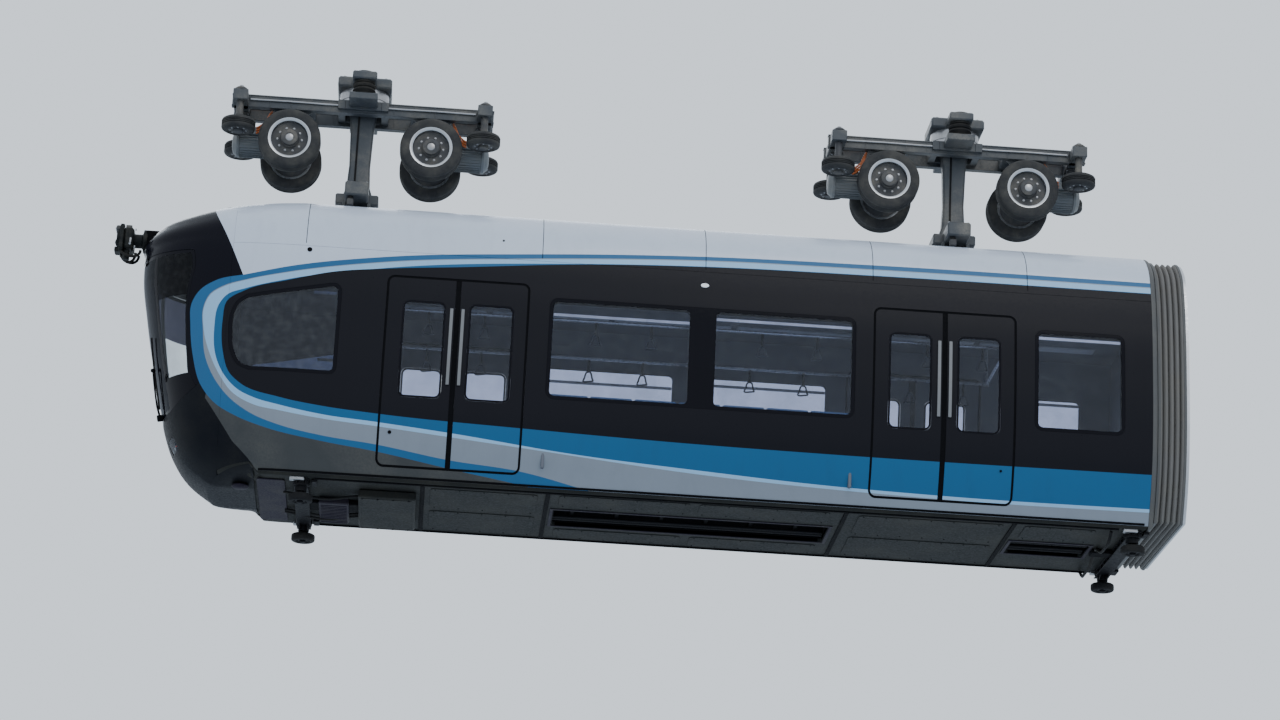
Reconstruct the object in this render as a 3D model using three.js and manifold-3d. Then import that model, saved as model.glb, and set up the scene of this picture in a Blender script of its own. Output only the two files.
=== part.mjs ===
// A suspended monorail car: one car of a train that hangs below a hollow girder from two bogies.
// Millimetres. +X is forward to the cab, +Y is left, +Z is up.
// The origin is on the running surface of the girder, on the centreline, midway between the bogies.
import * as THREE from 'three';
import { mergeVertices } from 'three/addons/utils/BufferGeometryUtils.js';
import Module from 'manifold-3d';

const wasm = await Module();
wasm.setup();

// Driving dimensions
const gangwayWallX = -5200;
const skirtZ = -3520;
const bodyHeight = 3150;
const wall = 65;
const fit = 0.3;

const noseSplit = 9600;
const noseStart = 8900;
const noseRoundness = 2.5;
const noseSteps = 7;
const rearCorner = 50;

const sillHeight = 100;
const floorHeight = 200;
const ceilingHeight = 2380;
const roofSplit = 2420;
const rearWall = 60;

const bogieOffset = 3200;
const axleOffset = 750;
const wheelRadius = 330;
const wheelWidth = 200;
const wheelY = 330;
const axleRadius = 45;

const guideX = 1300;
const guideY = 370;
const guideZ = 450;
const guideRadius = 180;
const guideWidth = 140;

const rollerRadius = 125;
const rollerWidth = 80;
const rollerY = 800;
const rollerDrop = 190;
const rollerPost = 65;

// Facets round the turned pieces
const wheelSides = 18;
const guideSides = 14;
const rollerSides = 14;
const boreSides = 16;

const bellowsLength = 300;
const ringThickness = 35;
const bellowsPleats = 6;

// Places along the car are given from the gangway wall, heights from the underside of the body.
const along = (distance) => gangwayWallX + distance;
const above = (height) => skirtZ + height;

// Half width of the body by height
const sideProfile = [
  { height: 0, value: 960 },
  { height: 150, value: 1020 },
  { height: 300, value: 1080 },
  { height: 600, value: 1160 },
  { height: 1000, value: 1200 },
  { height: 1600, value: 1190 },
  { height: 2100, value: 1150 },
  { height: 2500, value: 1080 },
  { height: 2790, value: 970 },
  { height: 2920, value: 850 },
  { height: 3020, value: 700 },
  { height: 3090, value: 500 },
  { height: 3150, value: 280 },
];

// Foremost point of the nose by height
const noseProfile = [
  { height: 0, value: 9720 },
  { height: 150, value: 9940 },
  { height: 370, value: 10110 },
  { height: 580, value: 10200 },
  { height: 880, value: 10280 },
  { height: 1400, value: 10410 },
  { height: 1830, value: 10500 },
  { height: 2250, value: 10570 },
  { height: 2450, value: 10570 },
  { height: 2590, value: 10540 },
  { height: 2745, value: 10450 },
  { height: 2825, value: 10270 },
  { height: 2910, value: 10030 },
  { height: 2975, value: 9700 },
  { height: 3045, value: 9350 },
  { height: 3105, value: 9100 },
  { height: 3150, value: 8970 },
];

const levels = [0, 150, 370, 600, 1000, 1600, 2100, 2450, 2600, 2745, 2825, 2920, 3020, 3090, 3150];

// Value of a table at a height, on straight lines between its rows
function at(table, height) {
  const next = Math.max(1, table.findIndex((row) => row.height >= height));
  const low = table[next - 1];
  const high = table[next];
  const share = (height - low.height) / (high.height - low.height);
  return low.value + share * (high.value - low.value);
}

// Materials, by name
const materials = {
  white: { color: 0xccd4e0, roughness: 0.3, metalness: 0 },
  silver: { color: 0x94999e, roughness: 0.35, metalness: 0.5 },
  black: { color: 0x0a0a0d, roughness: 0.12, metalness: 0 },
  chin: { color: 0x3a3c3e, roughness: 0.4, metalness: 0.1 },
  glass: { color: 0x1c2428, roughness: 0.05, metalness: 0 },
  steel: { color: 0x50545a, roughness: 0.5, metalness: 0.6 },
  frame: { color: 0x3d4348, roughness: 0.6, metalness: 0.3 },
  rail: { color: 0xb8bcc0, roughness: 0.25, metalness: 0.9 },
  rubber: { color: 0x17171a, roughness: 0.85, metalness: 0 },
  bellows: { color: 0x736e69, roughness: 0.9, metalness: 0 },
  trim: { color: 0xb9bcbe, roughness: 0.6, metalness: 0 },
  seat: { color: 0x2c5a8c, roughness: 0.7, metalness: 0 },
  lamp: { color: 0xe8ecf0, roughness: 0.15, metalness: 0 },
};

// Reach of tools that run past both sides of the body and past its nose
const wide = [-1400, 1400];
const beyondNose = 11000;

// A span turned to one side or one end
const spread = ([p, q], sign) => [p * sign, q * sign].sort((r, s) => r - s);

// Closed geometry to solid, and back
function solid(geometry) {
  const bare = geometry.index ? geometry.toNonIndexed() : geometry.clone();
  for (const name of Object.keys(bare.attributes)) {
    if (name !== 'position') bare.deleteAttribute(name);
  }
  const merged = mergeVertices(bare, 1e-3);
  return new wasm.Manifold(new wasm.Mesh({
    numProp: 3,
    vertProperties: new Float32Array(merged.attributes.position.array),
    triVerts: new Uint32Array(merged.index.array),
  }));
}

function geometryOf(body) {
  const mesh = body.getMesh();
  const geometry = new THREE.BufferGeometry();
  geometry.setAttribute('position', new THREE.BufferAttribute(new Float32Array(mesh.vertProperties), 3));
  geometry.setIndex(new THREE.BufferAttribute(new Uint32Array(mesh.triVerts), 1));
  geometry.computeVertexNormals();
  return geometry;
}

const joined = (bodies) => bodies.reduce((whole, body) => whole.add(body));
const cut = (body, tools) => tools.reduce((rest, tool) => rest.subtract(tool), body);

// Box between two corners
function block([x0, x1], [y0, y1], [z0, z1]) {
  const geometry = new THREE.BoxGeometry(x1 - x0, y1 - y0, z1 - z0);
  geometry.translate((x0 + x1) / 2, (y0 + y1) / 2, (z0 + z1) / 2);
  return solid(geometry);
}

// Box in places along the car and heights above the underside
const bodyBlock = ([a0, a1], ys, [h0, h1]) => block([along(a0), along(a1)], ys, [above(h0), above(h1)]);

// Round bar from one point to another
function bar(from, to, radius, sides = 12) {
  const start = new THREE.Vector3(...from);
  const way = new THREE.Vector3(...to).sub(start);
  const geometry = new THREE.CylinderGeometry(radius, radius, way.length(), sides);
  geometry.translate(0, way.length() / 2, 0);
  geometry.applyQuaternion(new THREE.Quaternion().setFromUnitVectors(
    new THREE.Vector3(0, 1, 0), way.normalize()));
  geometry.translate(start.x, start.y, start.z);
  return solid(geometry);
}

// Solid of revolution about the Y axis, from [radius, y] points
function turned(points, sides) {
  return solid(new THREE.LatheGeometry(points.map(([r, y]) => new THREE.Vector2(r, y)), sides));
}

// Outline in places along the car and heights, pushed through from one side to the other
function sidePrism(outline, y0, y1) {
  const shape = new THREE.Shape(outline.map(([a, h]) => new THREE.Vector2(along(a), above(h))));
  const geometry = new THREE.ExtrudeGeometry(shape, { depth: y1 - y0, bevelEnabled: false });
  geometry.rotateX(Math.PI / 2);
  geometry.translate(0, y1, 0);
  return solid(geometry);
}

// Outline across the car, pushed along it
function crossPrism(outline, a0, a1) {
  const shape = new THREE.Shape(outline.map(([y, h]) => new THREE.Vector2(y, above(h))));
  const geometry = new THREE.ExtrudeGeometry(shape, { depth: a1 - a0, bevelEnabled: false });
  geometry.rotateX(Math.PI / 2);
  geometry.rotateZ(Math.PI / 2);
  geometry.translate(along(a0), 0, 0);
  return solid(geometry);
}

// Rectangle with round corners
function rounded([a0, a1], [h0, h1], radius, steps = 2) {
  const shape = new THREE.Shape();
  shape.absarc(a1 - radius, h1 - radius, radius, 0, Math.PI / 2);
  shape.absarc(a0 + radius, h1 - radius, radius, Math.PI / 2, Math.PI);
  shape.absarc(a0 + radius, h0 + radius, radius, Math.PI, 1.5 * Math.PI);
  shape.absarc(a1 - radius, h0 + radius, radius, 1.5 * Math.PI, 2 * Math.PI);
  return shape.getPoints(steps).map((point) => [point.x, point.y]);
}

// The same outline made smaller or larger about its middle
function resized(outline, growth) {
  const middle = [0, 1].map((axis) => {
    const values = outline.map((point) => point[axis]);
    return { centre: (Math.max(...values) + Math.min(...values)) / 2,
      half: (Math.max(...values) - Math.min(...values)) / 2 };
  });
  return outline.map((point) => point.map((value, axis) => {
    const { centre, half } = middle[axis];
    return centre + (value - centre) * (half + growth) / half;
  }));
}

// Solid between rings of points, each ring counted leftwards as seen from above
function lofted(rings) {
  const count = rings[0].length;
  const positions = rings.flat(2);
  const faces = [];
  for (let ring = 0; ring + 1 < rings.length; ring += 1) {
    for (let i = 0; i < count; i += 1) {
      const j = (i + 1) % count;
      const low = ring * count;
      const high = low + count;
      faces.push(low + i, low + j, high + j, low + i, high + j, high + i);
    }
  }
  const top = (rings.length - 1) * count;
  for (let i = 1; i + 1 < count; i += 1) {
    faces.push(0, i + 1, i, top, top + i, top + i + 1);
  }
  const geometry = new THREE.BufferGeometry();
  geometry.setAttribute('position', new THREE.BufferAttribute(new Float32Array(positions), 3));
  geometry.setIndex(faces);
  return solid(geometry);
}

// Plan outline of the body at one height: straight sides, then a full round nose
function planRing(height, { inset, rear, z }) {
  const half = at(sideProfile, height) - inset;
  const tip = at(noseProfile, height) - inset;
  const start = Math.min(noseStart, tip - 300);
  const right = [[rear, rearCorner - half], [rear + rearCorner, -half]];
  for (let step = 0; step < noseSteps; step += 1) {
    const angle = step / noseSteps * Math.PI / 2;
    right.push([
      start + (tip - start) * Math.sin(angle) ** (2 / noseRoundness),
      -half * Math.cos(angle) ** (2 / noseRoundness),
    ]);
  }
  const left = right.map(([a, y]) => [a, -y]).reverse();
  return [...right, [tip, 0], ...left].map(([a, y]) => [along(a), y, z]);
}

// The body's outer shape, or the same shape set in by a distance
function bodyShape({ inset = 0, bottom = inset, top = inset, rear = 0 } = {}) {
  const scale = (bodyHeight - bottom - top) / bodyHeight;
  return lofted(levels.map((height) => planRing(height, {
    inset, rear, z: above(bottom + height * scale),
  })));
}

// A tool of this shape runs past the lower edge and the rear of the body, and so cuts both open
const openEnd = { bottom: -1, rear: -100 };

// Layer of the skin between two depths below its surface
const skinLayer = (depth, innerDepth) => bodyShape({ inset: depth, bottom: 0, rear: -50 })
  .subtract(bodyShape({ inset: innerDepth, ...openEnd }));

const outer = bodyShape();
const inside = (inset) => bodyShape({ inset, ...openEnd });
const hollow = inside(wall);
const lining = inside(wall + fit).intersect(bodyBlock([rearWall + fit, beyondNose], wide, [0, 3200]));

// Names of the two sides, with the direction of each along Y
const sides = [
  { side: 'left', sign: 1 },
  { side: 'right', sign: -1 },
];
const ends = [
  { end: 'front', sign: 1 },
  { end: 'rear', sign: -1 },
];
const halfSpace = (sign) => (sign > 0 ? [0, 1400] : [-1400, 0]);

const car = new THREE.Group();
function piece(name, body, material, parent = car, place = [0, 0, 0]) {
  const mesh = new THREE.Mesh(geometryOf(body), new THREE.MeshStandardMaterial(materials[material]));
  mesh.name = name;
  mesh.position.set(...place);
  parent.add(mesh);
  return mesh;
}

// Doorways and windows, as outlines on the side of the body
const doors = [
  { door: 'front', centre: 7262, half: 735, windows: [[6700, 7120], [7400, 7800]] },
  { door: 'rear', centre: 2226, half: 745, windows: [[1665, 2075], [2380, 2785]] },
];
const doorHeights = [135, 2150];
const doorCorner = 80;
const leafWindowHeights = [860, 1860];
const doorOutline = ({ centre, half }) => rounded([centre - half, centre + half], doorHeights, doorCorner);

const saloonWindows = [
  { name: 'saloon', panes: [[3190, 4600], [4870, 6280]] },
  { name: 'rear', panes: [[390, 1250]] },
];
const paneHeights = [950, 1970];
const windowCorner = 50;
const glassBorder = 40;
const glassThickness = 11;

// The cab's side window has a straight rear edge and a bowed front edge
function cabWindowOutline() {
  const shape = new THREE.Shape();
  shape.moveTo(8540, 1060);
  shape.lineTo(9330, 1060);
  shape.quadraticCurveTo(9500, 1110, 9535, 1430);
  shape.quadraticCurveTo(9545, 1730, 9400, 1800);
  shape.lineTo(8560, 1970);
  shape.quadraticCurveTo(8490, 1980, 8490, 1910);
  shape.lineTo(8490, 1110);
  shape.quadraticCurveTo(8490, 1060, 8540, 1060);
  return shape.getPoints(4).map((point) => [point.x, point.y]);
}

// The windscreen, as seen from the side: its foot dips to a point in the middle of the nose
const windscreenOutline = [
  [9875, 895], [10130, 690], [10230, 665], [10750, 665], [10750, 2420], [10030, 2360], [9975, 2200],
  [10015, 1750], [9965, 1200],
];

// Below the nose the lower corners slope up and outward from the flat of the chin
const chinStart = 9220;
const chinHalf = 400;
const chinCorners = [1, -1].map((sign) => crossPrism(
  [[420, -10], [400, -60], [1400, -60], [1400, 220]].map(([y, h]) => [sign * y, h]), chinStart, beyondNose,
));

// Floor and skirt, with the two recesses in its underside
const recesses = [
  { a: [3280, 6130], y: [-340, 270], depth: 110 },
  { a: [520, 1330], y: [-300, 170], depth: 90 },
];
function underframe() {
  const skirt = outer.intersect(bodyBlock([rearWall + fit, noseSplit - fit], wide, [-10, sillHeight]));
  const floor = lining.intersect(bodyBlock([0, noseSplit - fit], wide, [sillHeight - 20, floorHeight]));
  return cut(joined([skirt, floor]), [
    ...recesses.map(({ a, y, depth }) => bodyBlock(a, y, [-20, depth])), ...chinCorners,
  ]);
}

// Side wall with its doorways, windows and the shallow seats of its flush glass
const sideSlab = outer.subtract(hollow)
  .intersect(bodyBlock([rearWall + fit, noseSplit - fit], wide, [sillHeight + fit, roofSplit - fit]));
const glassDepth = 2;
const glassSeat = skinLayer(-40, glassDepth + glassThickness + fit);
const glassLayer = skinLayer(glassDepth, glassDepth + glassThickness);

const windowGroups = [
  ...saloonWindows.map(({ name, panes }) => ({
    name,
    border: rounded([panes[0][0] - glassBorder, panes.at(-1)[1] + glassBorder],
      [paneHeights[0] - glassBorder, paneHeights[1] + glassBorder], windowCorner + glassBorder),
    openings: panes.map((pane) => rounded(pane, paneHeights, windowCorner)),
  })),
  { name: 'cab', border: resized(cabWindowOutline(), glassBorder), openings: [cabWindowOutline()] },
];

function sideWall(sign) {
  const [y0, y1] = halfSpace(sign);
  const through = (outline) => sidePrism(outline, y0, y1);
  return cut(sideSlab.intersect(bodyBlock([0, beyondNose], [y0, y1], [0, 3200])), [
    ...doors.map((door) => through(doorOutline(door))),
    ...windowGroups.flatMap(({ openings }) => openings.map(through)),
    ...windowGroups.map(({ border }) => glassSeat.intersect(through(border))),
  ]);
}

const leafLayer = skinLayer(2, 42);
function doorLeaf(door, sign, fore) {
  const [y0, y1] = halfSpace(sign);
  const [a0, a1] = fore ? [door.centre + 2, door.centre + 900] : [door.centre - 900, door.centre - 2];
  const pane = rounded(door.windows[fore ? 1 : 0], leafWindowHeights, windowCorner);
  return leafLayer
    .intersect(sidePrism(resized(doorOutline(door), -0.5), y0, y1))
    .intersect(bodyBlock([a0, a1], [y0, y1], doorHeights))
    .subtract(sidePrism(pane, y0, y1));
}

// Roof fairing above the ceiling: thick haunches on both sides of the space for the ducts
const ductSpace = { a: [0, 9240], y: [-620, 620], h: [roofSplit - 10, 2950] };
function roofShell() {
  return outer
    .intersect(bodyBlock([rearWall + fit, noseSplit - fit], wide, [roofSplit + fit, bodyHeight + 10]))
    .subtract(bodyBlock(ductSpace.a, ductSpace.y, ductSpace.h));
}

function ceiling() {
  return lining.intersect(bodyBlock([0, noseSplit - fit], wide, [ceilingHeight, roofSplit - fit]));
}

// End wall with the doorway to the gangway and the hole for the drawbar
const passage = { half: 450, heights: [200, 2200] };
const couplerHeight = 2720;
const drawbarRadius = 60;
const drawbarSides = 14;
function rearEndWall() {
  return cut(outer.intersect(bodyBlock([0, rearWall], wide, [-10, bodyHeight + 10])), [
    crossPrism(rounded([-passage.half, passage.half], passage.heights, 100), -20, 80),
    bar([along(-20), 0, above(couplerHeight)], [along(80), 0, above(couplerHeight)], drawbarRadius + 2 * fit,
      drawbarSides),
  ]);
}

// Nose with the windscreen opening, the coupler's hole and the headlamps' pockets
const chinOutline = [[chinStart, 30], [chinStart, -20], [9620, -20], [9760, 30]];
const lampHeights = [330, 460];
const lampY = [200, 500];
const lampDepth = 45;
const couplerHalf = 115;
const lampReach = [9900, 10400];
const lampBox = (sign) => bodyBlock(lampReach, spread(lampY, sign), lampHeights);

function noseShell() {
  const cab = bodyShape({ inset: wall, bottom: 60, rear: rearWall });
  const keel = sidePrism(chinOutline, -chinHalf, chinHalf);
  const skin = outer.subtract(cab).intersect(bodyBlock([noseSplit, beyondNose], wide, [-10, bodyHeight + 10]));
  const under = keel.subtract(bodyBlock([9000, noseSplit], wide, [-fit, 50]));
  return cut(joined([skin, under]), [
    sidePrism(windscreenOutline, -1400, 1400),
    bodyBlock([10200, 10700], [-couplerHalf, couplerHalf],
      [couplerHeight - couplerHalf, couplerHeight + couplerHalf]),
    ...sides.map(({ sign }) => lampBox(sign)),
    ...chinCorners,
  ]);
}

function windscreen() {
  return skinLayer(4, 20).intersect(sidePrism(resized(windscreenOutline, -fit), -1400, 1400))
    .intersect(bodyBlock([noseSplit, beyondNose], wide, [300, 2600]));
}

function headlamp(sign) {
  return skinLayer(3, lampDepth).intersect(bodyBlock(lampReach,
    spread([lampY[0] + fit, lampY[1] - fit], sign), [lampHeights[0] + fit, lampHeights[1] - fit]));
}

// Coupler on the nose, level with the drawbar at the other end
function frontCoupler() {
  const z = above(couplerHeight);
  const inner = couplerHalf - fit;
  return joined([
    block([along(10260), along(10590)], [-inner, inner], [z - inner, z + inner]),
    bar([along(10580), 0, z], [along(10720), 0, z], 75, 14),
    block([along(10710), along(10860)], [-150, 150], [z - 160, z + 150]),
    block([along(10850), along(10920)], [-130, 30], [z - 130, z + 130]),
    bar([along(10780), 60, z - 150], [along(10780), 60, z - 235], 40, 10),
  ]);
}

function rearDrawbar() {
  const z = above(couplerHeight);
  return joined([
    bar([along(-bellowsLength - ringThickness), 0, z], [along(rearWall + 180), 0, z], drawbarRadius,
      drawbarSides),
    block([along(rearWall + fit), along(rearWall + 160)], [-170, 170], [z - 130, z + 130]),
  ]);
}

// Half of the gangway: pleated bellows, then the ring that bolts to the next car's half.
// Its outline follows the body's section, set in from it.
const sectionHeights = [40, 150, 300, 600, 1000, 1600, 2100, 2500, 2800, 2950, 3040];
function sectionRing(a, inset) {
  const right = sectionHeights.map((height) => [at(sideProfile, height) - inset, height]);
  const high = sectionHeights.at(-1) - inset;
  const limited = right.map(([half, height]) => [half, Math.min(Math.max(height, inset), high)]);
  const left = limited.map(([half, height]) => [-half, height]).reverse();
  return [...limited, ...left].map(([y, height]) => [along(a), y, above(height)]);
}
const gangwayOpening = rounded([-560, 560], [180, 2860], 150);

function bellows() {
  const rings = [];
  const pitch = bellowsLength / bellowsPleats;
  for (let pleat = 0; pleat < bellowsPleats; pleat += 1) {
    rings.push(sectionRing(-bellowsLength + fit + pleat * pitch, 85));
    rings.push(sectionRing(-bellowsLength + fit + (pleat + 0.5) * pitch, 35));
  }
  rings.push(sectionRing(-fit, 85));
  return lofted(rings).subtract(crossPrism(gangwayOpening, -400, 60));
}

function gangwayRing() {
  const start = -bellowsLength - ringThickness;
  return lofted([sectionRing(start, 45), sectionRing(-bellowsLength, 45)])
    .subtract(crossPrism(gangwayOpening, -400, 60));
}

// Seats, rails, partition and desk inside
const benchReach = [3150, 6320];
function bench(sign) {
  const outline = [
    [760, 200 + fit], [1200, 200 + fit], [1200, 1010], [985, 1010], [930, 640],
    [610, 640], [590, 560], [760, 540],
  ].map(([y, h]) => [y * sign, h]);
  return crossPrism(sign > 0 ? outline : outline.reverse(), ...benchReach).intersect(lining);
}

const railHeight = 1950;
const railY = 640;
const railRadius = 17;
function grabRails() {
  const high = above(ceilingHeight - fit);
  const level = above(railHeight);
  const stations = [1500, 2950, 4735, 6520, 7950];
  const stanchions = [2950, 6520];
  const foot = above(floorHeight + fit);
  const rail = (from, to) => bar(from, to, railRadius, 8);
  const upright = (a, y, low, top) => rail([along(a), y, low], [along(a), y, top]);
  return joined([
    ...sides.flatMap(({ sign }) => [
      rail([along(1480), sign * railY, level], [along(7970), sign * railY, level]),
      ...stations.map((a) => upright(a, sign * railY, level, high)),
      ...stanchions.map((a) => upright(a, sign * railY, foot, level)),
    ]),
    ...[stations[0], stations.at(-1)].map((a) => rail([along(a), -railY, level], [along(a), railY, level])),
  ]);
}

function cabPartition() {
  const panel = bodyBlock([8300, 8340], wide, [floorHeight + fit, ceilingHeight - fit]);
  const pane = (sign) => rounded([sign * 680 - 230, sign * 680 + 230], [1100, 1950], 60);
  return cut(lining.intersect(panel), [
    bodyBlock([8200, 8400], [-330, 330], [0, 2000]),
    ...sides.map(({ sign }) => crossPrism(pane(sign), 8200, 8400)),
  ]);
}

const cabLining = bodyShape({ inset: wall + fit, bottom: 60 + fit, rear: rearWall });
function driverDesk() {
  return sidePrism([[9380, 200 + fit], [9900, 200 + fit], [10080, 520], [9980, 880], [9620, 900],
    [9330, 830], [9330, 760], [9420, 720]], -820, 820).intersect(cabLining);
}

function driverSeat() {
  return joined([
    bodyBlock([8850, 9100], [-150, 150], [floorHeight + fit, 240]),
    bar([along(8975), 0, above(230)], [along(8975), 0, above(600)], 55, 10),
    bodyBlock([8740, 9210], [-240, 240], [590, 680]),
    sidePrism([[8740, 600], [8850, 600], [8800, 1330], [8710, 1330]], -230, 230),
  ]);
}

// Cross-beam below the floor that carries a stabilising roller at each side
const rollerBeams = [
  { end: 'front', a: 8730, width: 150 },
  { end: 'rear', a: 185, width: 150 },
];
function rollerBeam({ end, a, width }) {
  const post = (y) => bar([along(a), y, above(-60)], [along(a), y, above(-rollerDrop + rollerPost)], 60, 12);
  const parts = [
    bodyBlock([a - width / 2, a + width / 2], [-900, 900], [-70, -fit]),
    ...sides.map(({ sign }) => post(sign * rollerY)),
  ];
  if (end === 'front') {
    parts.push(bodyBlock([7560, a], [-160, 160], [-55, -fit]));
    parts.push(bodyBlock([7560, 8150], [-620, 620], [-90, -fit]));
    parts.push(bodyBlock([8250, 8560], [-560, 240], [-75, -fit]));
  } else {
    parts.push(bodyBlock([a, 470], [-90, 90], [-50, -fit]));
    parts.push(bodyBlock([400, 440], [-860, 860], [-110, -fit]));
  }
  return joined(parts);
}

function roller() {
  const half = rollerWidth / 2;
  const top = rollerPost - fit;
  return turned([
    [0, -half - 22], [34, -half - 22], [34, -half], [rollerRadius - 12, -half], [rollerRadius, -half + 12],
    [rollerRadius, half - 12], [rollerRadius - 12, half], [44, half], [44, top], [0, top],
  ], rollerSides).rotate([90, 0, 0]);
}

// Running wheels: an axle with a rubber-tyred wheel at each end, turning as one
function wheelset() {
  const inner = wheelY - wheelWidth / 2;
  const outerFace = wheelY + wheelWidth / 2;
  const half = [
    [axleRadius, inner + 20], [200, inner + 20], [215, inner], [290, inner], [wheelRadius, inner + 35],
    [wheelRadius, outerFace - 35], [290, outerFace], [215, outerFace], [195, outerFace - 40],
    [100, outerFace - 40], [90, outerFace + 12], [0, outerFace + 12],
  ];
  const mirrored = half.map(([r, y]) => [r, -y]).reverse();
  return turned([...mirrored, ...half], wheelSides);
}

// Guide wheel on an upright stub axle below the bogie's end beam
const beamBottom = 720;
const beamTop = 860;
function guideWheel() {
  const half = guideWidth / 2;
  const top = beamBottom - fit - guideZ;
  return turned([
    [0, -half - 15], [55, -half - 15], [55, -half + 12], [120, -half + 12], [135, -half],
    [guideRadius, -half + 22], [guideRadius, half - 22], [135, half], [40, half], [40, top], [0, top],
  ], guideSides).rotate([90, 0, 0]);
}

// Bogie frame with its axle horns, spring seats and air springs
const frameReach = [-1400, 1400];
const hornY = [140, 200];
const postHalf = { x: 160, y: 90 };
const frameOpening = { x: 192, y: 118 };
const springY = 400;
const springRadius = 125;
const bolsterBottom = 1020;
const springGap = 5;
function bogieFrame() {
  const bore = axleRadius + 1.5;
  return cut(joined([
    ...sides.map(({ sign }) => block(frameReach, spread([160, 240], sign), [beamBottom, beamTop])),
    block([-270, 270], [-270, 270], [beamBottom + 40, beamTop]),
    block([-150, 150], [-530, 530], [beamBottom + 60, beamTop]),
    ...ends.flatMap(({ sign }) => [
      block([guideX * sign - 80, guideX * sign + 80], [-450, 450], [beamBottom, beamTop - 20]),
      block([560 * sign - 50, 560 * sign + 50], [-200, 200], [beamBottom + 20, beamTop - 20]),
    ]),
    ...ends.flatMap(({ sign: end }) => sides.map(({ sign }) => block(
      [axleOffset * end - 100, axleOffset * end + 100],
      spread(hornY, sign), [wheelRadius - 110, beamBottom + 20]))),
    ...sides.map(({ sign }) => bar([0, sign * springY, beamTop - 5],
      [0, sign * springY, bolsterBottom - springGap], springRadius, 16)),
  ]), [
    block([-frameOpening.x, frameOpening.x], [-frameOpening.y, frameOpening.y], [0, 1000]),
    ...ends.map(({ sign }) => bar([axleOffset * sign, -400, wheelRadius],
      [axleOffset * sign, 400, wheelRadius], bore, boreSides)),
  ]);
}

// Drive unit: gearbox round the axle and motor lengthwise outside it, hung from the end beam
function driveUnit(sign) {
  const bore = axleRadius + 1.5;
  const motorZ = 380;
  const x = (offset) => sign * offset;
  const span = (p, q) => [x(p), x(q)].sort((r, s) => r - s);
  return cut(joined([
    block(span(axleOffset - 130, axleOffset + 170), [-110, 110], [200, 500]),
    bar([x(axleOffset + 160), 0, motorZ], [x(axleOffset + 640), 0, motorZ], 150, 16),
    block(span(1230, 1330), [-60, 60], [motorZ + 130, beamBottom - fit]),
  ]), [
    bar([x(axleOffset), -400, wheelRadius], [x(axleOffset), 400, wheelRadius], bore, boreSides),
  ]);
}

// Hanger: bolster and slewing ring over the bogie, post through the slot, crosshead on the roof
const crosshead = { x: 125, y: 520, low: -300, high: -140 };
function hanger() {
  const roofZ = above(bodyHeight) + fit;
  const ring = bar([0, 0, beamTop + fit], [0, 0, bolsterBottom + 10], 262, 24)
    .subtract(bar([0, 0, 0], [0, 0, 2000], 205, 24));
  return joined([
    ring,
    block([-290, 290], [-270, 270], [bolsterBottom, bolsterBottom + 120]),
    block([-130, 130], [-530, 530], [bolsterBottom, bolsterBottom + 90]),
    block([-postHalf.x, postHalf.x], [-postHalf.y, postHalf.y], [crosshead.low + 20, bolsterBottom + 20]),
    block([-crosshead.x, crosshead.x], [-crosshead.y, crosshead.y], [crosshead.low, crosshead.high]),
    block([-230, 230], [-170, 170], [crosshead.low + 20, crosshead.high - 20]),
    ...sides.map(({ sign }) => block([-170, 170], spread([150, 270], sign), [roofZ, crosshead.low + 10])),
  ]);
}

// The body
piece('underframe', underframe(), 'frame');
piece('roof_shell', roofShell(), 'white');
piece('ceiling', ceiling(), 'trim');
piece('rear_end_wall', rearEndWall(), 'trim');
piece('nose_shell', noseShell(), 'black');
piece('windscreen', windscreen(), 'glass');
piece('front_coupler', frontCoupler(), 'steel');
piece('rear_drawbar', rearDrawbar(), 'steel');
piece('gangway_bellows', bellows(), 'bellows');
piece('gangway_ring', gangwayRing(), 'steel');
piece('grab_rails', grabRails(), 'rail');
piece('cab_partition', cabPartition(), 'trim');
piece('driver_desk', driverDesk(), 'chin');
piece('driver_seat', driverSeat(), 'seat');
for (const { side, sign } of sides) {
  const [y0, y1] = halfSpace(sign);
  piece(`${side}_side_wall`, sideWall(sign), 'black');
  piece(`${side}_headlamp`, headlamp(sign), 'lamp');
  piece(`${side}_bench`, bench(sign), 'seat');
  for (const { name, border } of windowGroups) {
    const glass = glassLayer.intersect(sidePrism(resized(border, -fit), y0, y1));
    piece(`${side}_${name}_glass`, glass, 'glass');
  }
  for (const door of doors) {
    piece(`${side}_${door.door}_door_fore_leaf`, doorLeaf(door, sign, true), 'black');
    piece(`${side}_${door.door}_door_aft_leaf`, doorLeaf(door, sign, false), 'black');
  }
}

// The stabilising rollers below the floor
for (const beam of rollerBeams) {
  piece(`${beam.end}_roller_beam`, rollerBeam(beam), 'frame');
  for (const { side, sign } of sides) {
    piece(`${beam.end}_${side}_roller`, roller(), 'rubber', car,
      [along(beam.a), sign * rollerY, above(-rollerDrop)]);
  }
}

// The bogies in the girder, and the hangers that carry the body
for (const { end, sign } of ends) {
  const bogie = new THREE.Group();
  bogie.position.set(sign * bogieOffset, 0, 0);
  car.add(bogie);
  piece(`${end}_hanger`, hanger(), 'steel', bogie);
  piece(`${end}_bogie_frame`, bogieFrame(), 'frame', bogie);
  for (const { end: place, sign: direction } of ends) {
    piece(`${end}_bogie_${place}_wheelset`, wheelset(), 'rubber', bogie,
      [direction * axleOffset, 0, wheelRadius]);
    piece(`${end}_bogie_${place}_drive`, driveUnit(direction), 'steel', bogie);
    for (const { side, sign: across } of sides) {
      piece(`${end}_bogie_${place}_${side}_guide_wheel`, guideWheel(), 'rubber', bogie,
        [direction * guideX, across * guideY, guideZ]);
    }
  }
}

export default car;
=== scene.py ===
# A suspended monorail car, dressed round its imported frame. Metres.
# +X is forward to the cab, +Y is left, +Z is up, as in the frame.
import math
from itertools import product

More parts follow.
